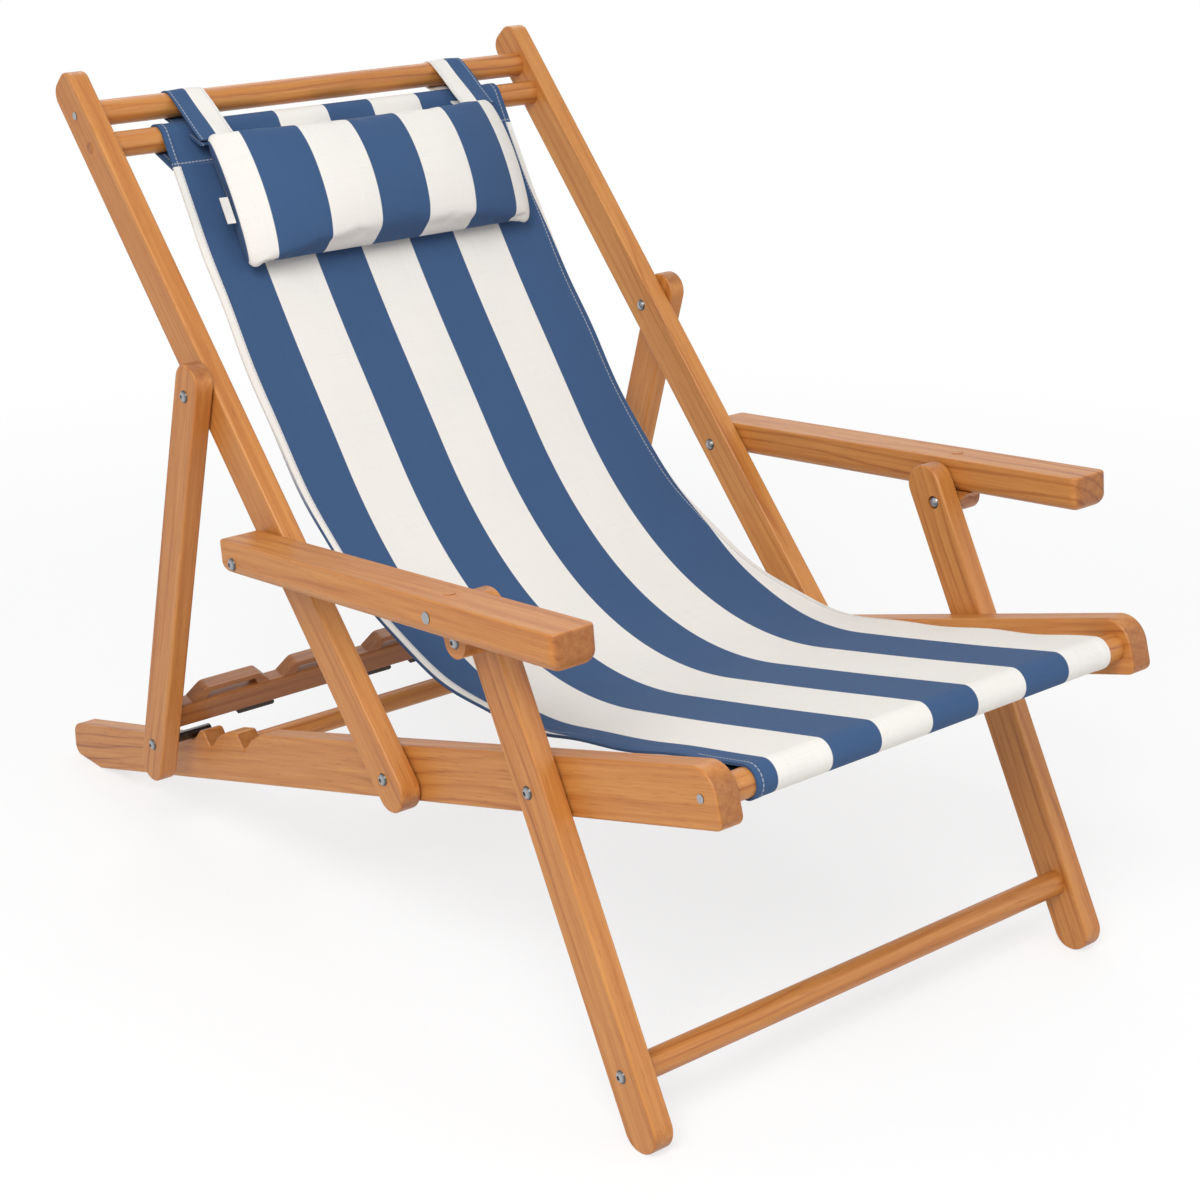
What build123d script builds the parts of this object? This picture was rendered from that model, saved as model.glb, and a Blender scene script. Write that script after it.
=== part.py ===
from build123d import *
import math
import os

# Folding reclining chair. The sitter faces -Y, +X is the sitter's left, and the feet stand on z = 0.
# Lengths are millimetres, angles are degrees.

# Side view: every place is worked out from the back pivot on the seat rails
PIVOT_HEIGHT = 216.4
PIVOT_Y = -119.3
SEAT_SLOPE = 16.9
BACK_ANGLE = 47.0
LEG_ANGLE = 61.0
LEG_PIVOT_AHEAD = 230.5
FRONT_DOWEL_AHEAD = 434.0
ARM_PIVOT_UP = 245.7
ARM_PIVOT_SETBACK = 5.1
PROP_PIVOT_UP = 424.0
SLING_DOWEL_UP = 712.0
DOWEL_SPACING = 39.0
LEG_PIVOT_SETBACK = 3.0
LEG_TOP_PIVOT_UP = 141.0
LEG_TOP_PIVOT_AHEAD = 6.0
STRETCHER_DOWN = 254.0
PEG_PATH_RISE = 3.2

# Layers from the middle of the chair outwards
CLEAR_WIDTH = 484.0
RAIL_THICKNESS = 25.0
BAR_THICKNESS = 22.0
STRUT_THICKNESS = 20.0
LAYER_GAP = 1.6
ARM_WIDTH = 46.0

# Wooden bars
RAIL_HEIGHT = 54.0
RAIL_NOSE = 20.0
RAIL_NOSE_TOP_RADIUS = 26.0
RAIL_NOSE_LOW_RADIUS = 9.0
FOOT_LENGTH = 59.2
FOOT_RISE = 1.6
FOOT_TOP_RADIUS = 14.0
FOOT_END_RADIUS = 12.0
FOOT_LOW_RADIUS = 9.0
BAR_WIDTH = 42.0
BACK_RAIL_TAIL = 34.0
BACK_RAIL_HEAD = 45.0
BACK_RAIL_HEAD_RADIUS = 15.0
LEG_HEAD = 40.0
FOOT_FLAT_DEPTH = 0.8
STRUT_WIDTH = 40.0
STRUT_HEAD = 33.0
STRUT_TAIL = 45.0
END_FLAT = 0.4
EDGE_ROUND = 2.5

# Rack cut into the top of each seat rail
FIRST_NOTCH_AHEAD = 40.0
NOTCH_PITCH = 72.0
NOTCH_COUNT = 2
NOTCH_DEPTH = 17.0
NOTCH_FLOOR = 5.0
NOTCH_REAR_RUN = 8.0
NOTCH_FRONT_RUN = 15.0
NOTCH_FRONT_RISE = 10.5
NOTCH_RAMP_RUN = 22.0
NOTCH_RADIUS = 2.4
CREST_RADIUS = 4.0
SEAT_FRONT_RUN = 17.0
SEAT_FLOOR_AHEAD = 5.0
SEAT_CLEARANCE = 0.4

# Dowels and stretchers
DOWEL_RADIUS = 13.0
LEG_STRETCHER_RADIUS = 12.5
REAR_STRETCHER_RADIUS = 11.0
REAR_STRETCHER_BACK = 332.0
REAR_STRETCHER_LIFT = 8.0
SOCKET_DEPTH = 13.0
SOCKET_END_CLEARANCE = 0.3
FIT = 0.05

# Bolts, pegs, screws and plugs
BOLT_RADIUS = 4.0
BOLT_HEAD_RADIUS = 6.3
BOLT_HEAD_HEIGHT = 3.4
HEX_RADIUS = 2.3
HEX_DEPTH = 1.4
HEAD_CLEARANCE = 0.3
HEAD_RECESS = 2.2
WASHER_RADIUS = 11.0
PEG_RADIUS = 5.5
PEG_END_INSET = 1.0
SCREW_RADIUS = 4.0
PLUG_RADIUS = 5.5
TRIM_DEPTH = 3.0
TRIM_PROUD = 0.6
SPLIT_BOLT_GAP = 0.3

# Armrests and their lugs
ARM_THICKNESS = 34.0
ARM_FRONT_OVERHANG = 163.0
ARM_TAIL = 22.0
ARM_RISE = 4.5
ARM_CORNER_RADIUS = 9.0
ARM_REAR_RADIUS = 5.0
ARM_REAR_LOW_RADIUS = 12.0
LUG_DROP = 23.6
LUG_RADIUS = 15.0
LUG_WIDTH = 28.0
LUG_TOP_LENGTH = 46.0
ARM_SCREW_BEHIND = 13.0
ARM_SCREW_RADIUS = 5.5
ARM_PLUG_BEHIND = 8.0

# Prop frame
CROSS_RAIL_UP = 34.0
CROSS_RAIL_HEIGHT = 28.0
CROSS_RAIL_DEPTH = 18.0
LOOP_COUNT = 5
LOOP_END_MARGIN = 12.2
LOOP_LENGTH = 96.0
LOOP_HEIGHT = 15.0
LOOP_DEPTH = 16.0
LOOP_WALL = 6.0
LOOP_END_SLOPE = 15.0
LOOP_FOOT = 16.0
LOOP_SLOT_SLOPE = 4.0
LOOP_ROUND = 9.0
LOOP_SLOT_ROUND = 3.5
PAD_INNER_OFFSET = 36.0
PAD_END_INSET = 101.2
PAD_LENGTH = 46.0
PAD_HEIGHT = 5.0
PAD_ROUND = 2.0

# Sling, head pillow and straps
CLOTH = 2.0
CLOTH_CLEARANCE = 0.3
SLING_FRONT_MARGIN = 18.5
SLING_TOP_MARGIN = 53.6
SLING_BACK_SAG = 31.0
SLING_SAG_UP = 503.6
SLING_STRAIGHT = 1.0
SLING_SEAT_LIFT = 45.6
SLING_SEAT_BACK = 66.2
SLING_BEND_RADIUS = 430.0
SLING_BEND_SHARE = 1 / 3
PILLOW_END_MARGIN = 27.0
PILLOW_WIDTH = 158.0
PILLOW_BELLY = 18.0
PILLOW_CROWN = 46.0
PILLOW_END_SCALE = 0.98
PILLOW_END_FILL = 0.25
PILLOW_END_POWER = 3.2
PILLOW_FILL_POWER = 0.8
PILLOW_STATIONS = (-1.0, -0.88, -0.7, -0.4, 0.0, 0.4, 0.7, 0.88, 1.0)
PILLOW_CLEARANCE = 1.7
PILLOW_TOP_GAP = 8.0
STRAP_WIDTH = 42.0
STRAP_INSET = 22.0
STRAP_SEAM_CLEARANCE = 0.2


def reach(start: Vector, length: float, angle: float, side: float = 0.0) -> Vector:
    """Point in the side view, a length along an angle from a start and a distance to its left."""
    along = Vector(0, math.cos(math.radians(angle)), math.sin(math.radians(angle)))
    left = Vector(0, -along.Z, along.Y)
    return start + along * length + left * side


def side_plane(x: float, point: Vector, angle: float) -> Plane:
    """Plane square to X whose own x runs along an angle in the side view."""
    direction = reach(Vector(0, 0, 0), 1.0, angle)
    return Plane(origin=(x, point.Y, point.Z), x_dir=direction, z_dir=(1, 0, 0))


def slope_between(start: Vector, end: Vector) -> float:
    """Angle in the side view of the line from one point to another."""
    return math.degrees(math.atan2(end.Z - start.Z, end.Y - start.Y))


def tangent_point(centre: Vector, radius: float, outside: Vector, turn: int) -> Vector:
    """Point where the line from an outside point touches a circle in the side view."""
    distance = (outside - centre).length
    swing = math.degrees(math.acos(radius / distance))
    return reach(centre, radius, slope_between(centre, outside) + turn * swing)


# Places in the side view
RAIL_ANGLE = -SEAT_SLOPE
PIVOT = Vector(0, PIVOT_Y, PIVOT_HEIGHT)
LEG_PIVOT = reach(PIVOT, -LEG_PIVOT_AHEAD, RAIL_ANGLE)
FRONT_DOWEL = reach(PIVOT, -FRONT_DOWEL_AHEAD, RAIL_ANGLE)
REAR_STRETCHER = reach(PIVOT, REAR_STRETCHER_BACK, RAIL_ANGLE, REAR_STRETCHER_LIFT)
ARM_PIVOT = reach(PIVOT, ARM_PIVOT_UP, BACK_ANGLE, -ARM_PIVOT_SETBACK)
PROP_PIVOT = reach(PIVOT, PROP_PIVOT_UP, BACK_ANGLE)
SLING_DOWEL = reach(PIVOT, SLING_DOWEL_UP, BACK_ANGLE)
TOP_DOWEL = reach(SLING_DOWEL, DOWEL_SPACING, BACK_ANGLE)
LEG_AXIS = reach(LEG_PIVOT, 0, LEG_ANGLE, LEG_PIVOT_SETBACK)
LEG_TOP_PIVOT = reach(LEG_AXIS, LEG_TOP_PIVOT_UP, LEG_ANGLE, LEG_TOP_PIVOT_AHEAD)
LEG_STRETCHER = reach(LEG_AXIS, -STRETCHER_DOWN, LEG_ANGLE)
PEG_PATH_ANGLE = RAIL_ANGLE + PEG_PATH_RISE
PEG_BACK = 2 * PROP_PIVOT_UP * math.cos(math.radians(BACK_ANGLE - PEG_PATH_ANGLE))
PEG = reach(PIVOT, PEG_BACK, PEG_PATH_ANGLE)
STRUT_ANGLE = slope_between(PEG, PROP_PIVOT)
STRUT_LENGTH = (PROP_PIVOT - PEG).length
ARM_SPAN = (ARM_PIVOT - LEG_TOP_PIVOT).length
ARM_LEAN = math.degrees(math.asin((LUG_DROP - ARM_RISE) / ARM_SPAN))
ARM_ANGLE = slope_between(LEG_TOP_PIVOT, ARM_PIVOT) - ARM_LEAN
LUG_AHEAD = ARM_SPAN * math.cos(math.radians(ARM_LEAN))

# Layers: distance from the chair's middle plane
RAIL_IN = CLEAR_WIDTH / 2
RAIL_OUT = RAIL_IN + RAIL_THICKNESS
BAR_IN = RAIL_OUT + LAYER_GAP
BAR_OUT = BAR_IN + BAR_THICKNESS
OUTER_IN = BAR_OUT + LAYER_GAP
STRUT_OUT = OUTER_IN + STRUT_THICKNESS
ARM_OUT = OUTER_IN + ARM_WIDTH
LUG_OUT = OUTER_IN + LUG_WIDTH

# Widths of the cloth pieces, each a margin inside what carries it
SLING_FRONT_WIDTH = 2 * (RAIL_IN - SLING_FRONT_MARGIN)
SLING_TOP_WIDTH = 2 * (BAR_IN - SLING_TOP_MARGIN)
PILLOW_LENGTH = SLING_TOP_WIDTH - 2 * PILLOW_END_MARGIN
STRAP_OFFSET = PILLOW_LENGTH / 2 - STRAP_INSET

pieces = []


def keep(name: str, part: Part) -> None:
    """Labels a finished piece and lists it for writing."""
    part.label = name
    pieces.append(part)


def keep_both(name: str, left: Part) -> None:
    """Keeps a left-hand piece and its mirror image."""
    with BuildPart() as right:
        add(left)
        mirror(about=Plane.YZ, mode=Mode.REPLACE)
    keep(name + "_left", left)
    keep(name + "_right", right.part)


def keep_pair(name: str, left: Part) -> None:
    """Keeps a small piece and its mirror image together in one node."""
    with BuildPart() as pair:
        add(left)
        mirror(about=Plane.YZ)
    keep(name, pair.part)


def bar(x: float, thickness: float, plane_point: Vector, angle: float, start: float, end: float,
        width: float, start_radius: float, end_radius: float) -> Part:
    """Straight bar with rounded corners at both ends and softened long edges."""
    with BuildPart() as piece:
        with BuildSketch(side_plane(x, plane_point, angle)) as outline:
            with Locations(((start + end) / 2, 0)):
                Rectangle(end - start, width)
            fillet(outline.vertices().group_by(Axis.X)[0], start_radius)
            fillet(outline.vertices().group_by(Axis.X)[-1], end_radius)
        extrude(amount=thickness)
        fillet(piece.faces().filter_by(Axis.X).edges(), EDGE_ROUND)
    return piece.part


def bored(body: Part, holes: list) -> Part:
    """Cuts round holes along X into a piece: each is (point, radius, from x, to x)."""
    with BuildPart() as piece:
        add(body)
        for point, radius, x_from, x_to in holes:
            with BuildSketch(side_plane(x_from, point, 0)):
                Circle(radius)
            extrude(amount=x_to - x_from, mode=Mode.SUBTRACT)
    return piece.part


def rod(point: Vector, radius: float, x_from: float, x_to: float) -> Part:
    """Plain round rod along X."""
    with BuildPart() as piece:
        with BuildSketch(side_plane(x_from, point, 0)):
            Circle(radius)
        extrude(amount=x_to - x_from)
    return piece.part


def washer(point: Vector, x_from: float) -> Part:
    """Flat ring between two layers, a head clearance from each."""
    with BuildPart() as piece:
        with BuildSketch(side_plane(x_from + HEAD_CLEARANCE, point, 0)):
            Circle(WASHER_RADIUS)
            Circle(BOLT_RADIUS + FIT, mode=Mode.SUBTRACT)
        extrude(amount=LAYER_GAP - 2 * HEAD_CLEARANCE)
    return piece.part


def bolt(point: Vector, radius: float, x_in: float, x_out: float, inner_head: bool, outer_head: bool) -> Part:
    """Round bolt along X with domed heads, turned from its half outline; outer heads have a hex socket."""
    dome_radius = (BOLT_HEAD_RADIUS ** 2 + BOLT_HEAD_HEIGHT ** 2) / (2 * BOLT_HEAD_HEIGHT)
    half_sweep = math.asin(BOLT_HEAD_RADIUS / dome_radius) / 2
    mid_rise = BOLT_HEAD_HEIGHT - dome_radius * (1 - math.cos(half_sweep))
    mid_radius = dome_radius * math.sin(half_sweep)
    with BuildPart() as piece:
        with BuildSketch(Plane(origin=(0, point.Y, point.Z), x_dir=(1, 0, 0), z_dir=(0, -1, 0))):
            with BuildLine():
                if inner_head:
                    ThreePointArc((x_in - BOLT_HEAD_HEIGHT, 0), (x_in - mid_rise, mid_radius),
                                  (x_in, BOLT_HEAD_RADIUS))
                    Line((x_in, BOLT_HEAD_RADIUS), (x_in, radius))
                else:
                    Line((x_in, 0), (x_in, radius))
                Line((x_in, radius), (x_out, radius))
                if outer_head:
                    Line((x_out, radius), (x_out, BOLT_HEAD_RADIUS))
                    ThreePointArc((x_out, BOLT_HEAD_RADIUS), (x_out + mid_rise, mid_radius),
                                  (x_out + BOLT_HEAD_HEIGHT, 0))
                else:
                    Line((x_out, radius), (x_out, 0))
                low = x_in - BOLT_HEAD_HEIGHT if inner_head else x_in
                high = x_out + BOLT_HEAD_HEIGHT if outer_head else x_out
                Line((high, 0), (low, 0))
            make_face()
        revolve(axis=Axis(origin=(0, point.Y, point.Z), direction=(1, 0, 0)))
        if outer_head:
            with BuildSketch(side_plane(x_out + BOLT_HEAD_HEIGHT - HEX_DEPTH, point, 0)):
                RegularPolygon(HEX_RADIUS, 6)
            extrude(amount=HEX_DEPTH, mode=Mode.SUBTRACT)
    return piece.part


def trim(point: Vector, radius: float, x_face: float) -> Part:
    """Small round plug or screw head let into an outer face and standing slightly proud."""
    return rod(point, radius, x_face - TRIM_DEPTH, x_face + TRIM_PROUD)


def trim_hole(point: Vector, radius: float, x_face: float) -> tuple:
    """Recess for a small plug or screw head in an outer face."""
    return (point, radius + FIT, x_face - TRIM_DEPTH - SOCKET_END_CLEARANCE, x_face)


def socket(point: Vector, radius: float, x_face: float) -> tuple:
    """Blind hole for a dowel's end in an inner face."""
    return (point, radius + FIT, x_face, x_face + SOCKET_DEPTH)


def through(point: Vector, radius: float, x_in: float, x_out: float) -> tuple:
    """Hole right through a layer for a bolt or a peg."""
    return (point, radius + FIT, x_in, x_out)


def dowel(name: str, point: Vector, radius: float, x_face: float) -> None:
    """Cross dowel whose ends sit in sockets on both sides."""
    half = x_face + SOCKET_DEPTH - SOCKET_END_CLEARANCE
    keep(name, rod(point, radius, -half, half))


# Seat rails: front nose, notched rack, peg seat and a foot cut flat for the floor
rail_half = RAIL_HEIGHT / 2
slope_sine = math.sin(math.radians(SEAT_SLOPE))
slope_cosine = math.cos(math.radians(SEAT_SLOPE))
peg_run = PEG_BACK * math.cos(math.radians(PEG_PATH_RISE))
peg_lift = PEG_BACK * math.sin(math.radians(PEG_PATH_RISE))
foot_top = peg_lift - PEG_RADIUS - SEAT_CLEARANCE
floor_start = (PIVOT_HEIGHT - rail_half * slope_cosine) / slope_sine
foot_reach_back = floor_start * slope_cosine - rail_half * slope_sine + FOOT_LENGTH
foot_end_run = foot_reach_back * slope_cosine + PIVOT_HEIGHT * slope_sine
foot_end_low = foot_reach_back * slope_sine - PIVOT_HEIGHT * slope_cosine
rise_tangent = math.tan(math.radians(FOOT_RISE))
top_end_run = (foot_reach_back - (foot_top - peg_run * rise_tangent) * slope_sine) / (
    slope_cosine + rise_tangent * slope_sine)
foot_end_top = foot_top + (top_end_run - peg_run) * rise_tangent
rail_front = -FRONT_DOWEL_AHEAD - RAIL_NOSE

rail_corners = [
    ((rail_front, -rail_half), RAIL_NOSE_LOW_RADIUS),
    ((rail_front, rail_half), RAIL_NOSE_TOP_RADIUS),
]
for step in reversed(range(NOTCH_COUNT)):
    notch_front = peg_run - FIRST_NOTCH_AHEAD - step * NOTCH_PITCH - NOTCH_FLOOR / 2
    notch_rear = notch_front + NOTCH_FLOOR
    notch_floor_height = rail_half - NOTCH_DEPTH
    rail_corners += [
        ((notch_front - NOTCH_FRONT_RUN - NOTCH_RAMP_RUN, rail_half), CREST_RADIUS),
        ((notch_front - NOTCH_FRONT_RUN, notch_floor_height + NOTCH_FRONT_RISE), CREST_RADIUS),
        ((notch_front, notch_floor_height), NOTCH_RADIUS),
        ((notch_rear, notch_floor_height), NOTCH_RADIUS),
        ((notch_rear + NOTCH_REAR_RUN, rail_half), CREST_RADIUS),
    ]
rail_corners += [
    ((peg_run - SEAT_FLOOR_AHEAD - SEAT_FRONT_RUN, rail_half), CREST_RADIUS),
    ((peg_run - SEAT_FLOOR_AHEAD, foot_top), CREST_RADIUS),
    ((top_end_run, foot_end_top), FOOT_TOP_RADIUS),
    ((foot_end_run, foot_end_low), FOOT_END_RADIUS),
    ((floor_start, -rail_half), FOOT_LOW_RADIUS),
]
with BuildPart() as seat_rail:
    with BuildSketch(side_plane(RAIL_IN, PIVOT, RAIL_ANGLE)):
        with BuildLine():
            FilletPolyline(*[point for point, _ in rail_corners],
                           radius=[radius for _, radius in rail_corners], close=True)
        make_face()
    extrude(amount=RAIL_THICKNESS)
    fillet(seat_rail.faces().filter_by(Axis.X).edges(), EDGE_ROUND)
keep_both("seat_rail", bored(seat_rail.part, [
    through(PIVOT, BOLT_RADIUS, RAIL_IN, RAIL_OUT),
    through(LEG_PIVOT, BOLT_RADIUS, RAIL_IN, RAIL_OUT),
    socket(FRONT_DOWEL, DOWEL_RADIUS, RAIL_IN),
    socket(REAR_STRETCHER, REAR_STRETCHER_RADIUS, RAIL_IN),
    trim_hole(FRONT_DOWEL, SCREW_RADIUS, RAIL_OUT),
]))
dowel("front_sling_dowel", FRONT_DOWEL, DOWEL_RADIUS, RAIL_IN)
dowel("rear_stretcher", REAR_STRETCHER, REAR_STRETCHER_RADIUS, RAIL_IN)
keep_pair("front_dowel_pins", trim(FRONT_DOWEL, SCREW_RADIUS, RAIL_OUT))
pivot_outer = BAR_OUT + HEAD_CLEARANCE
keep_both("back_pivot_bolt", bolt(PIVOT, BOLT_RADIUS, RAIL_IN, pivot_outer, True, True))
keep_both("leg_pivot_bolt", bolt(LEG_PIVOT, BOLT_RADIUS, RAIL_IN, pivot_outer, True, True))
keep_pair("back_pivot_washers", washer(PIVOT, RAIL_OUT))
keep_pair("leg_pivot_washers", washer(LEG_PIVOT, RAIL_OUT))

# Back rails with the two dowels at their top
bar_round = BAR_WIDTH / 2 - END_FLAT
back_rail = bar(BAR_IN, BAR_THICKNESS, PIVOT, BACK_ANGLE, -BACK_RAIL_TAIL,
                SLING_DOWEL_UP + DOWEL_SPACING + BACK_RAIL_HEAD, BAR_WIDTH, bar_round, BACK_RAIL_HEAD_RADIUS)
keep_both("back_rail", bored(back_rail, [
    through(PIVOT, BOLT_RADIUS, BAR_IN, BAR_OUT),
    through(ARM_PIVOT, BOLT_RADIUS, BAR_IN, BAR_OUT),
    through(PROP_PIVOT, BOLT_RADIUS, BAR_IN, BAR_OUT),
    socket(SLING_DOWEL, DOWEL_RADIUS, BAR_IN),
    socket(TOP_DOWEL, DOWEL_RADIUS, BAR_IN),
    trim_hole(SLING_DOWEL, PLUG_RADIUS, BAR_OUT),
    trim_hole(TOP_DOWEL, SCREW_RADIUS, BAR_OUT),
]))
dowel("top_dowel", TOP_DOWEL, DOWEL_RADIUS, BAR_IN)
dowel("sling_dowel", SLING_DOWEL, DOWEL_RADIUS, BAR_IN)
keep_pair("top_dowel_screws", trim(TOP_DOWEL, SCREW_RADIUS, BAR_OUT))
keep_pair("sling_dowel_plugs", trim(SLING_DOWEL, PLUG_RADIUS, BAR_OUT))
keep_both("arm_pivot_bolt", bolt(ARM_PIVOT, BOLT_RADIUS, BAR_IN, ARM_OUT + HEAD_CLEARANCE, True, True))
keep_both("prop_pivot_bolt", bolt(PROP_PIVOT, BOLT_RADIUS, BAR_IN, STRUT_OUT + HEAD_CLEARANCE, True, True))
keep_pair("arm_pivot_washers", washer(ARM_PIVOT, BAR_OUT))
keep_pair("prop_pivot_washers", washer(PROP_PIVOT, BAR_OUT))

# Front legs, cut flat where they stand, with their stretcher; the upper bolt's inner head is let in to pass the rail
head_seat = BAR_IN + HEAD_RECESS
foot_reach = (LEG_AXIS.Z - BAR_WIDTH / 2 + FOOT_FLAT_DEPTH) / math.sin(math.radians(LEG_ANGLE))
leg_bar = bar(BAR_IN, BAR_THICKNESS, LEG_AXIS, LEG_ANGLE, -foot_reach - BAR_WIDTH / 2,
              LEG_TOP_PIVOT_UP + LEG_HEAD, BAR_WIDTH, bar_round, bar_round)
with BuildPart() as standing_leg:
    add(leg_bar)
    split(bisect_by=Plane.XY, keep=Keep.TOP)
keep_both("front_leg", bored(standing_leg.part, [
    through(LEG_PIVOT, BOLT_RADIUS, BAR_IN, BAR_OUT),
    through(LEG_TOP_PIVOT, BOLT_RADIUS, BAR_IN, BAR_OUT),
    (LEG_TOP_PIVOT, BOLT_HEAD_RADIUS + HEAD_CLEARANCE, BAR_IN, head_seat),
    through(LEG_STRETCHER, BOLT_RADIUS, BAR_IN, BAR_OUT),
    socket(LEG_STRETCHER, LEG_STRETCHER_RADIUS, BAR_IN),
]))
dowel("leg_stretcher", LEG_STRETCHER, LEG_STRETCHER_RADIUS, BAR_IN)
keep_pair("leg_stretcher_bolts", bolt(LEG_STRETCHER, BOLT_RADIUS, BAR_IN + SOCKET_DEPTH, BAR_OUT, False, True))
keep_pair("leg_top_bolts", bolt(LEG_TOP_PIVOT, BOLT_RADIUS, head_seat, BAR_OUT - SPLIT_BOLT_GAP, True, False))

# Armrests: a flat bar with rounded corners, its rear end rounded off below, drilled for its bolt
arm_front = -LUG_AHEAD - ARM_FRONT_OVERHANG
arm_low = ARM_RISE - ARM_THICKNESS / 2
arm_top = ARM_RISE + ARM_THICKNESS / 2
arm_start = reach(ARM_PIVOT, 0, ARM_ANGLE, arm_low)
arm_up = reach(Vector(0, 0, 0), 0, ARM_ANGLE, 1.0)
arm_rearwards = reach(Vector(0, 0, 0), 1.0, ARM_ANGLE)
arm_centre_x = (OUTER_IN + ARM_OUT) / 2
arm_plan = Plane(origin=(arm_centre_x, arm_start.Y, arm_start.Z), x_dir=arm_rearwards, z_dir=arm_up)
rear_axis = Axis(origin=(0, 0, 0), direction=arm_rearwards)
up_axis = Axis(origin=(0, 0, 0), direction=arm_up)
plug_spot = reach(ARM_PIVOT, ARM_PLUG_BEHIND - LUG_AHEAD, ARM_ANGLE, arm_top)
screw_spot = reach(ARM_PIVOT, ARM_SCREW_BEHIND - LUG_AHEAD, ARM_ANGLE, ARM_RISE)
plug_plane = Plane(origin=(arm_centre_x, plug_spot.Y, plug_spot.Z), x_dir=arm_rearwards, z_dir=arm_up)
with BuildPart() as armrest:
    with BuildSketch(arm_plan) as arm_outline:
        with Locations(((arm_front + ARM_TAIL) / 2, 0)):
            Rectangle(ARM_TAIL - arm_front, ARM_WIDTH)
        fillet(arm_outline.vertices().group_by(Axis.X)[0], ARM_CORNER_RADIUS)
        fillet(arm_outline.vertices().group_by(Axis.X)[-1], ARM_REAR_RADIUS)
    extrude(amount=ARM_THICKNESS)
    rear_low_edge = armrest.edges().filter_by(Axis.X).group_by(up_axis)[0].sort_by(rear_axis)[-1]
    fillet(rear_low_edge, ARM_REAR_LOW_RADIUS)
    fillet(armrest.faces().sort_by(up_axis)[-1].edges(), EDGE_ROUND)
    with BuildSketch(plug_plane):
        Circle(PLUG_RADIUS + FIT)
    extrude(amount=-TRIM_DEPTH - SOCKET_END_CLEARANCE, mode=Mode.SUBTRACT)
keep_both("armrest", bored(armrest.part, [
    through(ARM_PIVOT, BOLT_RADIUS, OUTER_IN, ARM_OUT),
    trim_hole(screw_spot, ARM_SCREW_RADIUS, ARM_OUT),
]))
with BuildPart() as arm_plug:
    with BuildSketch(plug_plane.offset(-TRIM_DEPTH)):
        Circle(PLUG_RADIUS)
    extrude(amount=TRIM_DEPTH + TRIM_PROUD)
keep_pair("arm_plugs", arm_plug.part)
keep_pair("arm_screws", trim(screw_spot, ARM_SCREW_RADIUS, ARM_OUT))

# Lugs: a round lobe about the leg bolt that widens to the armrest above it
with BuildPart() as arm_lug:
    with BuildSketch(side_plane(OUTER_IN, ARM_PIVOT, ARM_ANGLE)):
        lobe_height = ARM_RISE - LUG_DROP
        with Locations((-LUG_AHEAD, lobe_height)):
            Circle(LUG_RADIUS)
        with BuildLine():
            Polyline(
                (-LUG_AHEAD - LUG_RADIUS, lobe_height),
                (-LUG_AHEAD - LUG_TOP_LENGTH / 2, arm_low),
                (-LUG_AHEAD + LUG_TOP_LENGTH / 2, arm_low),
                (-LUG_AHEAD + LUG_RADIUS, lobe_height),
                close=True,
            )
        make_face()
        with Locations((-LUG_AHEAD, arm_low + LUG_RADIUS)):
            Rectangle(LUG_TOP_LENGTH, 2 * LUG_RADIUS, mode=Mode.SUBTRACT)
    extrude(amount=LUG_WIDTH)
keep_both("arm_lug", bored(arm_lug.part, [through(LEG_TOP_PIVOT, BOLT_RADIUS, OUTER_IN, LUG_OUT)]))
keep_both("lug_bolt", bolt(LEG_TOP_PIVOT, BOLT_RADIUS, OUTER_IN + SPLIT_BOLT_GAP, LUG_OUT, False, True))

# Prop frame: struts, cross rail, hand loops, rest pads and the pegs that sit in the rack
strut_round = STRUT_WIDTH / 2 - END_FLAT
strut = bar(OUTER_IN, STRUT_THICKNESS, PEG, STRUT_ANGLE, -STRUT_TAIL, STRUT_LENGTH + STRUT_HEAD,
            STRUT_WIDTH, strut_round, strut_round)
keep_both("prop_strut", bored(strut, [
    through(PROP_PIVOT, BOLT_RADIUS, OUTER_IN, STRUT_OUT),
    through(PEG, PEG_RADIUS, OUTER_IN, STRUT_OUT),
]))
keep_both("notch_peg", bolt(PEG, PEG_RADIUS, RAIL_IN + PEG_END_INSET, STRUT_OUT, False, True))
with BuildPart() as cross_rail:
    with BuildSketch(side_plane(-OUTER_IN, PEG, STRUT_ANGLE)):
        with Locations((CROSS_RAIL_UP, 0)):
            RectangleRounded(CROSS_RAIL_HEIGHT, CROSS_RAIL_DEPTH, EDGE_ROUND)
    extrude(amount=2 * OUTER_IN)
keep("prop_cross_rail", cross_rail.part)

strut_forwards = reach(Vector(0, 0, 0), 0, STRUT_ANGLE, 1.0)


def cross_rail_plane(x: float, up: float) -> Plane:
    """Front-facing plane through the cross rail's middle: its own x is X and its own y runs up the struts."""
    spot = reach(PEG, up, STRUT_ANGLE)
    return Plane(origin=(x, spot.Y, spot.Z), x_dir=(1, 0, 0), z_dir=strut_forwards)


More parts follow.
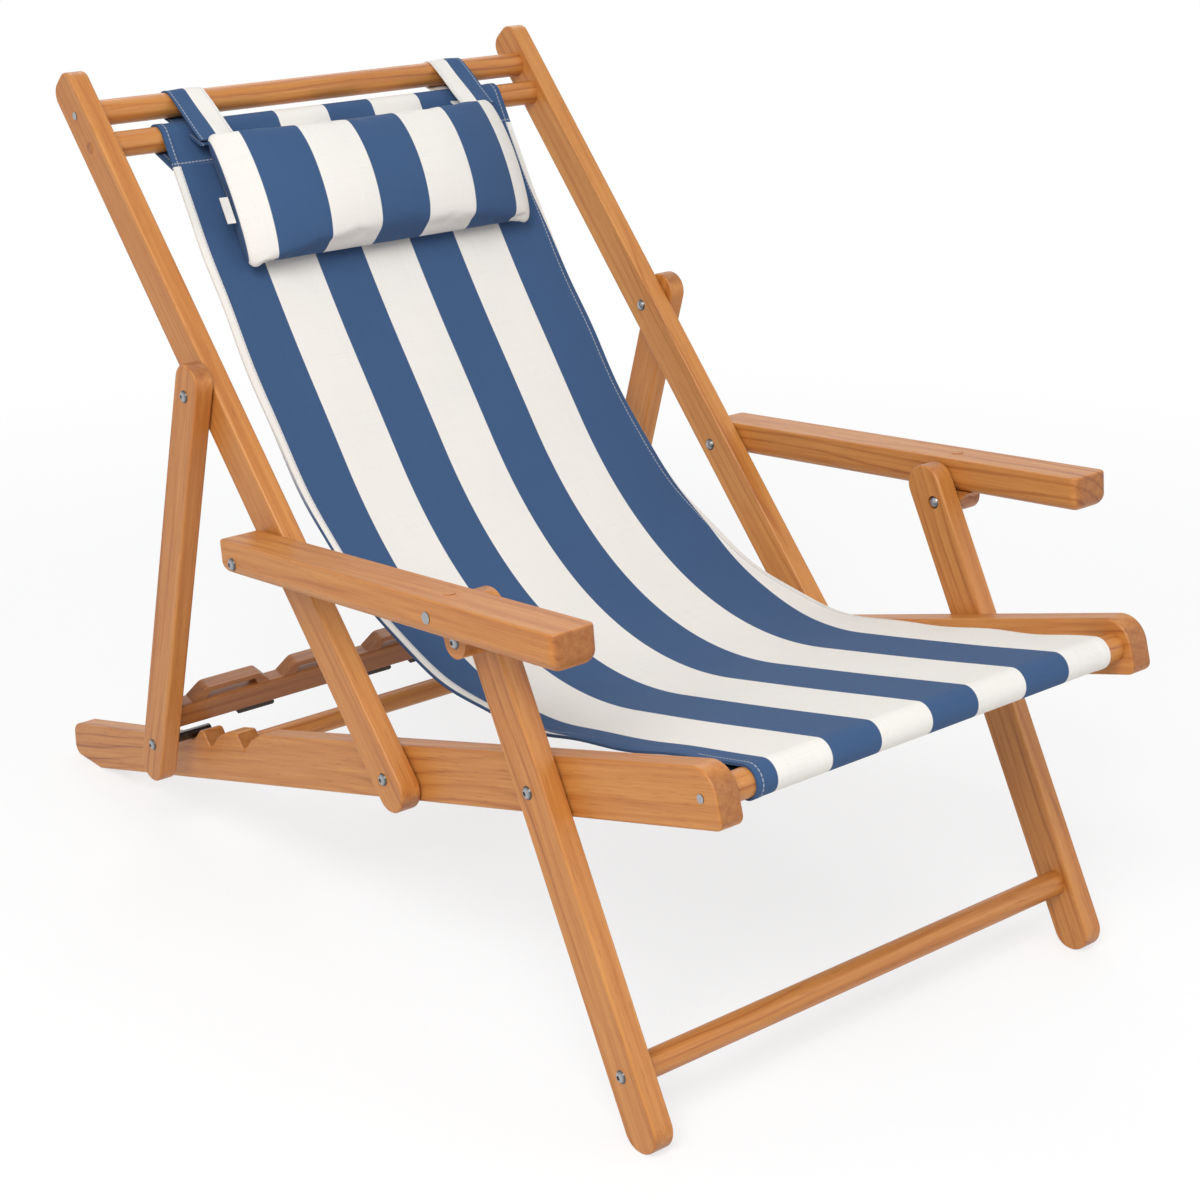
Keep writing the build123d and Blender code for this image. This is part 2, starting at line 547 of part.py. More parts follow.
rail_top = CROSS_RAIL_UP + CROSS_RAIL_HEIGHT / 2
rail_low = CROSS_RAIL_UP - CROSS_RAIL_HEIGHT / 2
loop_pitch = 2 * (OUTER_IN - LOOP_END_MARGIN) / LOOP_COUNT
for index in range(LOOP_COUNT):
    with BuildPart() as hand_loop:
        loop_x = (index - (LOOP_COUNT - 1) / 2) * loop_pitch
        with BuildSketch(cross_rail_plane(loop_x, rail_top)) as loop_outline:
            with BuildLine():
                Polyline(
                    (-LOOP_LENGTH / 2, 0),
                    (LOOP_END_SLOPE - LOOP_LENGTH / 2, LOOP_HEIGHT),
                    (LOOP_LENGTH / 2 - LOOP_END_SLOPE, LOOP_HEIGHT),
                    (LOOP_LENGTH / 2, 0),
                    (LOOP_LENGTH / 2 - LOOP_FOOT, 0),
                    (LOOP_LENGTH / 2 - LOOP_FOOT - LOOP_SLOT_SLOPE, LOOP_HEIGHT - LOOP_WALL),
                    (LOOP_FOOT + LOOP_SLOT_SLOPE - LOOP_LENGTH / 2, LOOP_HEIGHT - LOOP_WALL),
                    (LOOP_FOOT - LOOP_LENGTH / 2, 0),
                    close=True,
                )
            make_face()
            fillet(loop_outline.vertices().group_by(Axis.Y)[-2], LOOP_SLOT_ROUND)
            fillet(loop_outline.vertices().group_by(Axis.Y)[-1], LOOP_ROUND)
        extrude(amount=LOOP_DEPTH / 2, both=True)
    keep(f"hand_loop_{index + 1}", hand_loop.part)
pad_outer = OUTER_IN - PAD_END_INSET
with BuildPart() as rest_pads:
    for pad_x in (-pad_outer, -PAD_INNER_OFFSET, PAD_INNER_OFFSET, pad_outer):
        with BuildSketch(cross_rail_plane(pad_x, rail_low - PAD_HEIGHT / 2)):
            RectangleRounded(PAD_LENGTH, PAD_HEIGHT, PAD_ROUND)
        extrude(amount=LOOP_DEPTH / 2, both=True)
keep("rest_pads", rest_pads.part)

# Sling: one hanging cloth between the sling dowel and the front dowel, in three stretches
sleeve_middle = DOWEL_RADIUS + CLOTH_CLEARANCE + CLOTH / 2
sag_point = reach(PIVOT, SLING_SAG_UP, BACK_ANGLE, -SLING_BACK_SAG)
seat_point = reach(PIVOT, SLING_SEAT_BACK, RAIL_ANGLE, SLING_SEAT_LIFT)
sling_top = tangent_point(SLING_DOWEL, sleeve_middle, sag_point, -1)
sling_front = tangent_point(FRONT_DOWEL, sleeve_middle, seat_point, 1)
hang_line = [(point.Y, point.Z) for point in (sling_top, sag_point, seat_point, sling_front)]
sag_turn = (sag_point - sling_top).get_angle(seat_point - sag_point)
seat_turn = (seat_point - sag_point).get_angle(sling_front - seat_point)
bend_reach = SLING_BEND_RADIUS * math.tan(math.radians(seat_turn / 2))
curve_reach = (seat_point - sag_point).length - SLING_STRAIGHT - bend_reach
sling_back_radius = curve_reach / math.tan(math.radians(sag_turn / 2))
with BuildLine() as hanging:
    FilletPolyline(*hang_line, radius=[sling_back_radius, SLING_BEND_RADIUS])
upper_line, upper_arc, middle_line, bend_arc, lower_line = hanging.wire().edges()
bend_stretches = ShapeList([
    bend_arc.trim(share * SLING_BEND_SHARE, (share + 1) * SLING_BEND_SHARE) for share in range(3)
]).sort_by(Axis.X)


def cloth_band(edges: list, dowel_point: Vector | None) -> Part:
    """Stretch of the sling as a thin band along its line, with the sleeve round a dowel where it has one."""
    with BuildPart() as band:
        with BuildSketch(Plane.YZ):
            for edge in edges:
                trace(edge, line_width=CLOTH)
            if dowel_point:
                with Locations((dowel_point.Y, dowel_point.Z)):
                    Circle(sleeve_middle + CLOTH / 2)
                    Circle(sleeve_middle - CLOTH / 2, mode=Mode.SUBTRACT)
        extrude(amount=max(SLING_TOP_WIDTH, SLING_FRONT_WIDTH), both=True)
        for sign in (-1, 1):
            front_edge = Vector(sign * SLING_FRONT_WIDTH / 2, FRONT_DOWEL.Y, FRONT_DOWEL.Z)
            top_edge = Vector(sign * SLING_TOP_WIDTH / 2, SLING_DOWEL.Y, SLING_DOWEL.Z)
            across = slope_between(FRONT_DOWEL, SLING_DOWEL)
            level = reach(Vector(0, 0, 0), 0, across, 1.0)
            hem = Plane(origin=front_edge, x_dir=top_edge - front_edge,
                        z_dir=(top_edge - front_edge).cross(level) * -sign)
            split(bisect_by=hem, keep=Keep.TOP)
    return band.part


keep("sling_back", cloth_band([upper_line, upper_arc, middle_line, bend_stretches[2]], SLING_DOWEL))
keep("sling_bend", cloth_band([bend_stretches[1]], None))
keep("sling_seat", cloth_band([bend_stretches[0], lower_line], FRONT_DOWEL))

# Head pillow: crowned above, bellied below and thinner towards both ends, lying on the sling
down_angle = slope_between(sling_top, sag_point)
pillow_seam = PILLOW_BELLY + CLOTH / 2 + PILLOW_CLEARANCE
pillow_middle = reach(sling_top, PILLOW_TOP_GAP + PILLOW_WIDTH / 2, down_angle, -pillow_seam)
with BuildPart() as pillow:
    for station in PILLOW_STATIONS:
        towards_end = abs(station) ** PILLOW_END_POWER
        half_width = PILLOW_WIDTH / 2 * (1 - (1 - PILLOW_END_SCALE) * towards_end)
        fill = PILLOW_END_FILL + (1 - PILLOW_END_FILL) * (1 - towards_end) ** PILLOW_FILL_POWER
        with BuildSketch(side_plane(station * PILLOW_LENGTH / 2, pillow_middle, down_angle)):
            with BuildLine():
                ThreePointArc((-half_width, 0), (0, PILLOW_BELLY * fill), (half_width, 0))
                ThreePointArc((half_width, 0), (0, -PILLOW_CROWN * fill), (-half_width, 0))
            make_face()
    loft()
keep("pillow", pillow.part)

# Pillow straps: a band that loops over the top dowel and runs to the pillow's upper seam
seam_point = reach(pillow_middle, -PILLOW_WIDTH / 2 - STRAP_SEAM_CLEARANCE, down_angle)
strap_leave = tangent_point(TOP_DOWEL, sleeve_middle, seam_point, -1)
with BuildPart() as strap:
    with BuildSketch(Plane.YZ.offset(STRAP_OFFSET - STRAP_WIDTH / 2)):
        with BuildLine():
            strap_line = Line((strap_leave.Y, strap_leave.Z), (seam_point.Y, seam_point.Z))
        trace(strap_line, line_width=CLOTH)
        with Locations((TOP_DOWEL.Y, TOP_DOWEL.Z)):
            Circle(sleeve_middle + CLOTH / 2)
            Circle(sleeve_middle - CLOTH / 2, mode=Mode.SUBTRACT)
    extrude(amount=STRAP_WIDTH)
keep_both("pillow_strap", strap.part)

os.makedirs("parts", exist_ok=True)
for piece in pieces:
    export_step(piece, f"parts/{piece.label}.step")
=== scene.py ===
"""Looks of the folding reclining chair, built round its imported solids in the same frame."""

import logging
import math
from dataclasses import dataclass, field
from enum import Enum
from typing import Any, Sequence

import bpy
import numpy as np
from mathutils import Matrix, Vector


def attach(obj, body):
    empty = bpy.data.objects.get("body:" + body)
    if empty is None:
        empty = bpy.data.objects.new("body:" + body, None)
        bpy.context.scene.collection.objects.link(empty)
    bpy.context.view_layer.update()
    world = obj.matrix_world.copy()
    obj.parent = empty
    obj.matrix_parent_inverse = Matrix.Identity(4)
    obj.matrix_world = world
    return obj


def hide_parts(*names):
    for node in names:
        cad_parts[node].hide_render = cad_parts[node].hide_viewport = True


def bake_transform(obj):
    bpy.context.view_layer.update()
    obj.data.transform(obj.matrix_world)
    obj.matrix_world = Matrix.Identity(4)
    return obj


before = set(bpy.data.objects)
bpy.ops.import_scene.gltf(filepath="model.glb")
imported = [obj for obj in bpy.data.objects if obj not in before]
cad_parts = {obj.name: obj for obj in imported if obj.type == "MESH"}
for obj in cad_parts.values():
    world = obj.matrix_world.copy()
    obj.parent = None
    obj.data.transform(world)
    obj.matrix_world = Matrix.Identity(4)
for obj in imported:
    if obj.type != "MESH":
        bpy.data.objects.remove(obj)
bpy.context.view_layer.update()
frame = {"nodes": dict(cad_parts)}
LOG = logging.getLogger("chair")
Array = np.ndarray
Colour = tuple[float, float, float]
Pair = tuple[float, float]
Point = tuple[float, float, float]


def tone(red: int, green: int, blue: int) -> Colour:
    """Linear colour of a colour read on a screen.

    Args:
        red, green, blue: the three parts, from 0 to 255.

    Returns:
        The three linear parts, from 0 to 1.
    """
    parts = np.array([red, green, blue]) / 255.0
    low, high = parts / 12.92, ((parts + 0.055) / 1.055) ** 2.4
    return tuple(float(part) for part in np.where(parts <= 0.04045, low, high))


class Side(Enum):
    """A side of the chair: the sitter's right lies at minus X and left at plus X."""

    RIGHT = -1
    LEFT = 1


class Grain(Enum):
    """Direction of the wood's grain, as the angle in the side view or along X."""

    SEAT_RAIL = -16.9
    BACK_RAIL = 47.0
    FRONT_LEG = 61.0
    ARMREST = -6.5
    PROP_STRUT = 105.6
    ACROSS = 360.0


class Value:
    """A number's socket in a shader; Python's operators add Math nodes to it."""

    def __init__(self, graph: "Graph", socket: bpy.types.NodeSocket) -> None:
        """Keeps the graph and the socket that carries the number."""
        self.graph = graph
        self.socket = socket

    def math(self, operation: str, *others: Any) -> "Value":
        """Adds one Math node of an operation, with its second value as a number or a socket."""
        values = dict(enumerate((self, *others)))
        return self.graph.node("ShaderNodeMath", {"operation": operation}, values)

    def __add__(self, other: Any) -> "Value":
        """Sum."""
        return self.math("ADD", other)

    def __mul__(self, other: Any) -> "Value":
        """Product."""
        return self.math("MULTIPLY", other)

    def __sub__(self, other: Any) -> "Value":
        """Difference."""
        return self.math("SUBTRACT", other)

    def __rsub__(self, other: Any) -> "Value":
        """Difference the other way round."""
        return self.graph.node("ShaderNodeMath", {"operation": "SUBTRACT"}, {0: other, 1: self})

    def __truediv__(self, other: Any) -> "Value":
        """Quotient."""
        return self.math("DIVIDE", other)

    def __abs__(self) -> "Value":
        """Size without its sign."""
        return self.math("ABSOLUTE")

    def sine(self) -> "Value":
        """Sine of the value in radians."""
        return self.math("SINE")

    def fraction(self) -> "Value":
        """What is left above the next whole number below."""
        return self.math("FRACT")

    def most(self, other: Any) -> "Value":
        """Larger of two values."""
        return self.math("MAXIMUM", other)

    def step(self, low: float, high: float) -> "Value":
        """Smooth rise from 0 at low to 1 at high, or a fall where high is the smaller one.

        Args:
            low, high: the values where the result is 0 and 1.

        Returns:
            The eased share.
        """
        start, end, at_start, at_end = (low, high, 0.0, 1.0) if low < high else (high, low, 1.0, 0.0)
        sockets = {"Value": self, "From Min": start, "From Max": end, "To Min": at_start, "To Max": at_end}
        return self.graph.node("ShaderNodeMapRange", {"interpolation_type": "SMOOTHSTEP"}, sockets)


Axes = tuple[Value, Value, Value]


class Graph:
    """A tree of nodes that is being put together."""

    def __init__(self, tree: bpy.types.NodeTree) -> None:
        """Empties the tree and keeps it."""
        self.tree = tree
        self.tree.nodes.clear()

    def node(self, kind: str, settings: dict[str, Any] | None = None,
             sockets: dict[Any, Any] | None = None, result: Any = 0) -> Value:
        """Adds any node.

        Args:
            kind: the node's type.
            settings: its own settings, set first; "stops" gives a ramp's places and colours.
            sockets: values or links of its inputs, by name or number.
            result: name or number of the output that is returned.

        Returns:
            The chosen output.
        """
        made = self.tree.nodes.new(kind)
        for name, setting in (settings or {}).items():
            if name == "stops":
                self.fill_ramp(made.color_ramp, setting)
            else:
                setattr(made, name, setting)
        for name, value in (sockets or {}).items():
            self.feed(made.inputs[name], value)
        return Value(self, made.outputs[result])

    def fill_ramp(self, ramp: bpy.types.ColorRamp, stops: Sequence[tuple[float, Colour]]) -> None:
        """Puts the stops into a colour ramp.

        Args:
            ramp: the ramp.
            stops: a place from 0 to 1 and a colour for each stop, at least two.
        """
        while len(ramp.elements) < len(stops):
            ramp.elements.new(1.0)
        for element, (place, colour) in zip(ramp.elements, stops):
            element.position = place
            element.color = (*colour, 1.0)

    def feed(self, socket: bpy.types.NodeSocket, value: Any) -> None:
        """Links a value to a socket, or sets a number or colour on it.

        Args:
            socket: the input.
            value: a Value, a number, a vector or a colour.
        """
        if isinstance(value, Value):
            self.tree.links.new(value.socket, socket)
        elif socket.type == "RGBA" and len(value) == 3:
            socket.default_value = (*value, 1.0)
        else:
            socket.default_value = value

    def put_out(self, kind: str, value: Value) -> None:
        """Adds an output node of a kind and links a surface to it."""
        self.tree.links.new(value.socket, self.tree.nodes.new(kind).inputs[0])

    def place(self) -> Value:
        """Object coordinates."""
        return self.node("ShaderNodeTexCoord", result="Object")

    def facing(self) -> Value:
        """Normal in object coordinates."""
        return self.node("ShaderNodeTexCoord", result="Normal")

    def cloth_place(self) -> Axes:
        """A point's own place in its cloth, as stored in the mesh."""
        settings = {"attribute_name": "cloth_place"}
        return self.parts(self.node("ShaderNodeAttribute", settings, None, "Vector"))

    def seen(self) -> Value:
        """1 on rays from the camera, from metal and through glass."""
        camera, glossy, through = (self.node("ShaderNodeLightPath", result=f"Is {ray} Ray")
                                   for ray in ("Camera", "Glossy", "Transmission"))
        return camera.most(glossy).most(through)

    def between(self, share: Value, first: Value, second: Value) -> Value:
        """Surface between two surfaces: a share of 0 gives the first and 1 the second."""
        return self.node("ShaderNodeMixShader", None, {0: share, 1: first, 2: second})

    def parts(self, vector: Value) -> Axes:
        """The three numbers of a vector."""
        split = self.node("ShaderNodeSeparateXYZ", sockets={0: vector}).socket.node
        return tuple(Value(self, output) for output in split.outputs)

    def joined(self, x: Any, y: Any, z: Any) -> Value:
        """A vector put together from three numbers."""
        return self.node("ShaderNodeCombineXYZ", sockets={0: x, 1: y, 2: z})

    def noise(self, vector: Value, scale: float = 1.0, detail: float = 2.0, roughness: float = 0.5) -> Value:
        """Soft noise between 0 and 1, with finer octaves added as detail and roughness say."""
        sockets = {"Vector": vector, "Scale": scale, "Detail": detail, "Roughness": roughness}
        return self.node("ShaderNodeTexNoise", None, sockets)

    def streaks(self, axes: Axes, across: float, along: float, *octaves: float) -> Value:
        """Noise drawn out along the grain, in cycles per metre across the grain and along it."""
        side, run, depth = axes
        return self.noise(self.joined(side * across, run * along, depth * across), 1.0, *octaves)

    def mixed(self, share: Any, first: Any, second: Any) -> Value:
        """Colour between two colours: a share of 0 gives the first and 1 the second."""
        return self.node("ShaderNodeMix", {"data_type": "RGBA"}, {0: share, 6: first, 7: second}, 2)

    def darkened(self, colour: Value, share: Value, shade: Colour) -> Value:
        """Colour multiplied by a shade's red, green and blue as far as the share says."""
        settings = {"data_type": "RGBA", "blend_type": "MULTIPLY"}
        return self.node("ShaderNodeMix", settings, {0: share, 6: colour, 7: shade}, 2)

    def bumped(self, height: Value, distance: float, strength: float = 1.0) -> Value:
        """Normal tilted by a height of about 0 to 1, which stands for a distance in metres."""
        sockets = {"Height": height, "Distance": distance, "Strength": strength}
        return self.node("ShaderNodeBump", None, sockets)


class Shader(Graph):
    """A material being made: a Principled surface and the nodes that feed it."""

    def __init__(self, name: str) -> None:
        """Starts an empty material with a Principled surface.

        Args:
            name: the material's name.
        """
        self.material = bpy.data.materials.new(name)
        self.material.use_nodes = True
        super().__init__(self.material.node_tree)
        self.surface = self.tree.nodes.new("ShaderNodeBsdfPrincipled")
        self.put_out("ShaderNodeOutputMaterial", Value(self, self.surface.outputs[0]))

    def finish(self, **sockets: Any) -> bpy.types.Material:
        """Feeds the surface and hands over the material.

        Args:
            sockets: the Principled inputs, with _ in place of a space.

        Returns:
            The finished material.
        """
        for name, value in sockets.items():
            self.feed(self.surface.inputs[name.replace("_", " ")], value)
        return self.material


@dataclass(frozen=True)
class WoodFinish:
    """Oiled honey-brown hardwood: warped growth rings, fibre streaks and short dark pores along its grain."""

    name: str
    grain: Grain
    light: Colour = tone(208, 143, 72)
    middle: Colour = tone(183, 112, 47)
    dark: Colour = tone(124, 65, 23)
    pore_shade: Colour = (0.52, 0.42, 0.34)
    end_shade: Colour = (0.62, 0.55, 0.50)
    slow_warp: tuple[float, ...] = (9.0, 2.2)
    fine_warp: tuple[float, ...] = (26.0, 5.0)
    fibres: tuple[float, ...] = (420.0, 9.0, 3.0, 0.6)
    streaks: tuple[float, ...] = (150.0, 3.0)
    pores: tuple[float, ...] = (1100.0, 42.0, 1.0)
    patches: tuple[float, ...] = (5.0, 1.3, 1.0)
    ring_width: float = 0.011
    ring_way: Pair = (0.5, 0.86)
    ring_warp: Pair = (0.05, 0.006)
    late_share: float = 0.10
    vein_share: float = 0.24
    streak_share: float = 0.72
    fibre_share: float = 0.62
    patch_share: float = 0.42
    lightening: float = 0.57
    pore_depth: float = 0.45
    end_depth: float = 0.8
    roughness: float = 0.38
    coat: float = 0.12
    coat_roughness: float = 0.32
    relief: float = 0.00018

    def material(self) -> bpy.types.Material:
        """Builds the wood with y along its grain.

        Returns:
            The material.
        """
        shader = Shader(self.name)
        angle = math.radians(self.grain.value)
        turn, run = (-angle, 0.0, 0.0), (0.0, math.cos(angle), math.sin(angle))
        if self.grain is Grain.ACROSS:
            turn, run = (0.0, 0.0, -math.pi / 2), (1.0, 0.0, 0.0)
        turned = shader.node("ShaderNodeMapping", None, {"Vector": shader.place(), "Rotation": turn})
        axes = shader.parts(turned)
        noises = (self.slow_warp, self.fine_warp, self.fibres, self.streaks, self.patches, self.pores)
        slow, fine, fibre, streak, patch, pore = (shader.streaks(axes, *noise) for noise in noises)
        (side, _, depth), (beside, through) = axes, self.ring_way
        slow_shift, fine_shift = self.ring_warp
        ring_place = depth * through + side * beside + slow * slow_shift + fine * fine_shift
        rings = (ring_place * (2 * math.pi / self.ring_width)).sine() * 0.5 + 0.5
        late = rings.step(0.35, 1.0)
        vein = rings.step(0.86, 1.0) * slow.step(0.44, 0.58)
        pore = pore.step(0.63, 0.75)
        share = late * self.late_share + vein * self.vein_share + streak * self.streak_share
        share = share + fibre * self.fibre_share + patch * self.patch_share - self.lightening
        stops = [(0.0, self.light), (0.5, self.middle), (1.0, self.dark)]
        colour = shader.node("ShaderNodeValToRGB", {"stops": stops}, {0: share})
        colour = shader.darkened(colour, pore * self.pore_depth, self.pore_shade)
        ways = {0: shader.facing(), 1: run}
        end_grain = abs(shader.node("ShaderNodeVectorMath", {"operation": "DOT_PRODUCT"}, ways, "Value"))
        colour = shader.darkened(colour, end_grain.step(0.5, 0.95) * self.end_depth, self.end_shade)
        height = fibre * 0.5 + late * 0.15 - pore * 0.7
        rough = fibre * 0.16 + pore * 0.12 + self.roughness
        normal = shader.bumped(height, self.relief, 0.7)
        return shader.finish(Base_Color=colour, Roughness=rough, Normal=normal, Coat_Weight=self.coat,
                             Coat_Roughness=self.coat_roughness)


@dataclass(frozen=True)
class SteelFinish:
    """Bright plated steel with faint handling marks, and painted dark reflection on the rims of the domed
    heads.
    """

    name: str
    colour: Colour = (0.36, 0.37, 0.38)
    pale: Colour = tone(176, 177, 180)
    mark_shade: Colour = (0.7, 0.7, 0.72)
    painted_rim_reflection: Colour = (0.22, 0.21, 0.20)
    roughness: float = 0.2
    relief: float = 0.00004

    def material(self) -> bpy.types.Material:
        """Builds the steel.

        Returns:
            The material.
        """
        shader = Shader(self.name)
        place = shader.place()
        marks = shader.noise(place, 900.0, 3.0)
        bright = shader.mixed(shader.noise(place, 140.0), self.colour, self.pale)
        colour = shader.darkened(bright, marks.step(0.58, 0.75), self.mark_shade)
        head_out, _, _ = shader.parts(shader.facing())
        # Painted reflection: the domed heads are darkened towards their rims, where the normal turns away
        # from X.
        colour = shader.darkened(colour, abs(head_out).step(0.93, 0.6), self.painted_rim_reflection)
        return shader.finish(Base_Color=colour, Metallic=1.0, Roughness=marks * 0.16 + self.roughness,
                             Normal=shader.bumped(marks, self.relief, 0.5))


@dataclass(frozen=True)
class RubberFinish:
    """Matt dark rubber with a fine moulded grain."""

    name: str
    colour: Colour = tone(46, 34, 28)
    pale: Colour = tone(66, 52, 44)
    roughness: float = 0.6
    relief: float = 0.0001

    def material(self) -> bpy.types.Material:
        """Builds the rubber.

        Returns:
            The material.
        """
        shader = Shader(self.name)
        grain = shader.noise(shader.place(), 1500.0)
        return shader.finish(Base_Color=shader.mixed(grain, self.colour, self.pale),
                             Roughness=grain * 0.2 + self.roughness,
                             Normal=shader.bumped(grain, self.relief, 0.5))


@dataclass(frozen=True)
class Dyes:
    """The cloth's two yarns, its thread, and what wear and uneven yarn take off their colours."""

    blue: Colour = tone(62, 89, 127)
    white: Colour = tone(238, 234, 227)
    thread: Colour = tone(196, 200, 208)
    worn_shade: Colour = (0.88, 0.89, 0.91)
    yarn_shade: Colour = (0.80, 0.81, 0.84)


class Weave:
    """Plain canvas weave and its uneven yarns, shared by all the cloth finishes."""

    soft_edge: float = 0.0005
    stitch: float = 0.0042
    relief: float = 0.00035

    def __init__(self, shader: Shader, across: Value, along: Value, yarn: float = 0.0011) -> None:
        """Works out the weave's height and its mottling.

        Args:
            shader: the material that it is part of.
            across, along: place across and along the cloth in metres.
            yarn: spacing of the yarns in metres.
        """
        self.shader = shader
        turns = 2 * math.pi / yarn
        self.height = (across * turns).sine() * (along * turns).sine() * 0.5 + 0.5
        lines = shader.noise(shader.joined(across * 700.0, along * 14.0, 0.0))
        rows = shader.noise(shader.joined(across * 14.0, along * 700.0, 3.0))
        self.slub = (lines + rows) * 0.5
        self.cloud = shader.noise(shader.joined(across * 11.0, along * 11.0, 7.0), 1.0, 3.0)

    def stripes(self, place: Value, pitch: float, width: float) -> Value:
        """1 on even stripes of a width and a pitch, with the place measured from a stripe's middle."""
        off_centre = abs((place / pitch + 40.5).fraction() - 0.5) * pitch
        return off_centre.step(width / 2 + self.soft_edge, width / 2 - self.soft_edge)

    def stitches(self, off: Value, run: Value, outer: float = 0.00105, inner: float = 0.00042) -> Value:
        """1 on a dashed row of thread, from the distance off the row and the place along it in metres."""
        dash = abs((run / self.stitch).fraction() - 0.5).step(0.42, 0.34)
        return abs(off).step(outer, inner) * dash

    def surface(self) -> Value:
        """Height of the yarns with their unevenness."""
        return self.height * 0.35 + self.slub * 0.5

    def dyed(self, blue: Value, dyes: Dyes) -> Value:
        """Colour of blue and white yarns with their unevenness.

        Args:
            blue: 1 where the cloth is blue.
            dyes: the yarns' colours.

        Returns:
            The colour.
        """
        plain = self.shader.mixed(blue, dyes.white, dyes.blue)
        worn = self.shader.darkened(plain, self.cloud.step(0.35, 0.8) * 0.25, dyes.worn_shade)
        uneven = self.slub.step(0.5, 0.68) * 0.26 + self.height * 0.12
        return self.shader.darkened(worn, uneven, dyes.yarn_shade)

    def finished(self, colour: Value, height: Value) -> bpy.types.Material:
        """Material of matt cloth with a faint sheen, from its colour and its height of about 0 to 1."""
        return self.shader.finish(Base_Color=colour, Roughness=self.slub * 0.2 + 0.72, Sheen_Weight=0.04,
                                  Sheen_Roughness=0.5, Specular_IOR_Level=0.15,
                                  Normal=self.shader.bumped(height, self.relief, 0.8))


@dataclass(frozen=True)
class CanvasFinish:
    """Striped sling canvas, read from the cloth's own place: across, along and distance from its edge."""

    name: str
    dyes: Dyes = Dyes()
    pitch: float = 0.1193
    blue_width: float = 0.0575
    blue_centre: float = 0.059
    last_stripe: float = 1.3
    stripe_end: float = 0.001
    drift: float = -0.0455
    drift_run: Pair = (0.28, 1.02)
    middle: float = 0.02
    hem: float = 0.0088
    hem_run: Pair = (0.90, 0.76)
    hem_fade: float = 0.0008
    far_hem: float = 0.007
    far_hem_run: Pair = (0.24, 0.08)
    wedge: float = 0.0575
    wedge_run: Pair = (0.45, 0.95)
    rim: Pair = (0.0018, 0.0009)
    rim_run: Pair = (0.30, 0.45)
    sleeve_centre: float = 0.0145
    sleeve_end: float = 0.083
    seam_top: float = 0.036
    seam_front: float = 1.03
    seam_fade: float = 0.0004
    front_row_fade: float = 0.004
    hem_row: float = 0.0018
    top_row: float = 0.003
    side_row: float = 0.006
    fold: float = 0.0012

    def material(self) -> bpy.types.Material:
        """Builds the canvas.

        Returns:
            The material.
        """
        shader = Shader(self.name)
        across, along, edge = shader.cloth_place()
        weave = Weave(shader, across, along)
        soft = weave.soft_edge
        sleeve = along.step(self.seam_top + self.seam_fade, self.seam_top - self.seam_fade)
        shift = along.step(*self.drift_run) * self.drift
        beside = across - (shift + self.blue_centre + sleeve * (self.sleeve_centre - self.blue_centre))
        right = across.step(self.middle, -self.middle)
        near_hem = along.step(*self.hem_run)
        far_hem = along.step(*self.far_hem_run) * self.far_hem
        hem_width = right * (near_hem * self.hem - far_hem) + far_hem
        wedge = along.step(*self.wedge_run) * self.wedge
        far_band = beside.step(self.pitch - self.stripe_end, self.pitch) * (edge - wedge).step(-soft, soft)
        last = self.pitch * self.last_stripe
        beyond = beside.step(last, last + self.stripe_end)
        blue = (weave.stripes(beside, self.pitch, self.blue_width) * (1 - beyond)).most(far_band)
        on_hem = (hem_width - edge).step(0.0, self.hem_fade)
        sleeve_blue = sleeve * edge.step(self.sleeve_end + soft, self.sleeve_end - soft)
        rim = edge.step(*self.rim) * right * along.step(*self.rim_run)
        colour = weave.dyed((blue * (1 - on_hem)).most(sleeve_blue).most(rim), self.dyes)
        hem_row = weave.stitches(edge - self.hem + self.hem_row, along) * near_hem * (1 - sleeve)
        top_row = weave.stitches(along - self.seam_top + self.top_row, across)
        at_front = right * along.step(self.seam_front, self.seam_front + self.front_row_fade)
        side_row = weave.stitches(edge - self.side_row, along) * at_front.most(sleeve)
        thread = hem_row.most(top_row).most(side_row)
        colour = shader.mixed(thread * 0.55, colour, self.dyes.thread)
        fold = (edge - self.hem).step(0.0, self.fold)
        return weave.finished(colour, weave.surface() + thread * 1.6 - fold * 0.9)


@dataclass(frozen=True)
class PillowFinish:
    """Banded pillow cover with blue ends, read from its own place: across, round it, and 1 on its ends."""

    name: str
    dyes: Dyes = Dyes()
    band: float = 0.0627

    def material(self) -> bpy.types.Material:
        """Builds the cover.

        Returns:
            The material.
        """
        shader = Shader(self.name)
        across, around, end = shader.cloth_place()
        weave = Weave(shader, across, around)
        blue = weave.stripes(across, 2 * self.band, self.band).most(end.step(0.3, 0.7))
        return weave.finished(weave.dyed(blue, self.dyes), weave.surface())


@dataclass(frozen=True)
class WebbingFinish:
    """Two-tone strap: blue on its outer half, white on its inner half, with a stitched edge."""

    name: str
    dyes: Dyes = Dyes()
    middle: float = 0.0004
    row: float = 0.0028
    thread: Pair = (0.0009, 0.0004)

    def material(self) -> bpy.types.Material:
        """Builds the strap's cloth from its own place: outwards, along and distance from its edge.

        Returns:
            The material.
        """
        shader = Shader(self.name)
        outer, along, edge = shader.cloth_place()
        weave = Weave(shader, outer, along)
        thread = weave.stitches(edge - self.row, along, *self.thread)
        dyed = weave.dyed(outer.step(-self.middle, self.middle), self.dyes)
        return weave.finished(shader.mixed(thread * 0.5, dyed, self.dyes.thread), weave.surface() + thread)


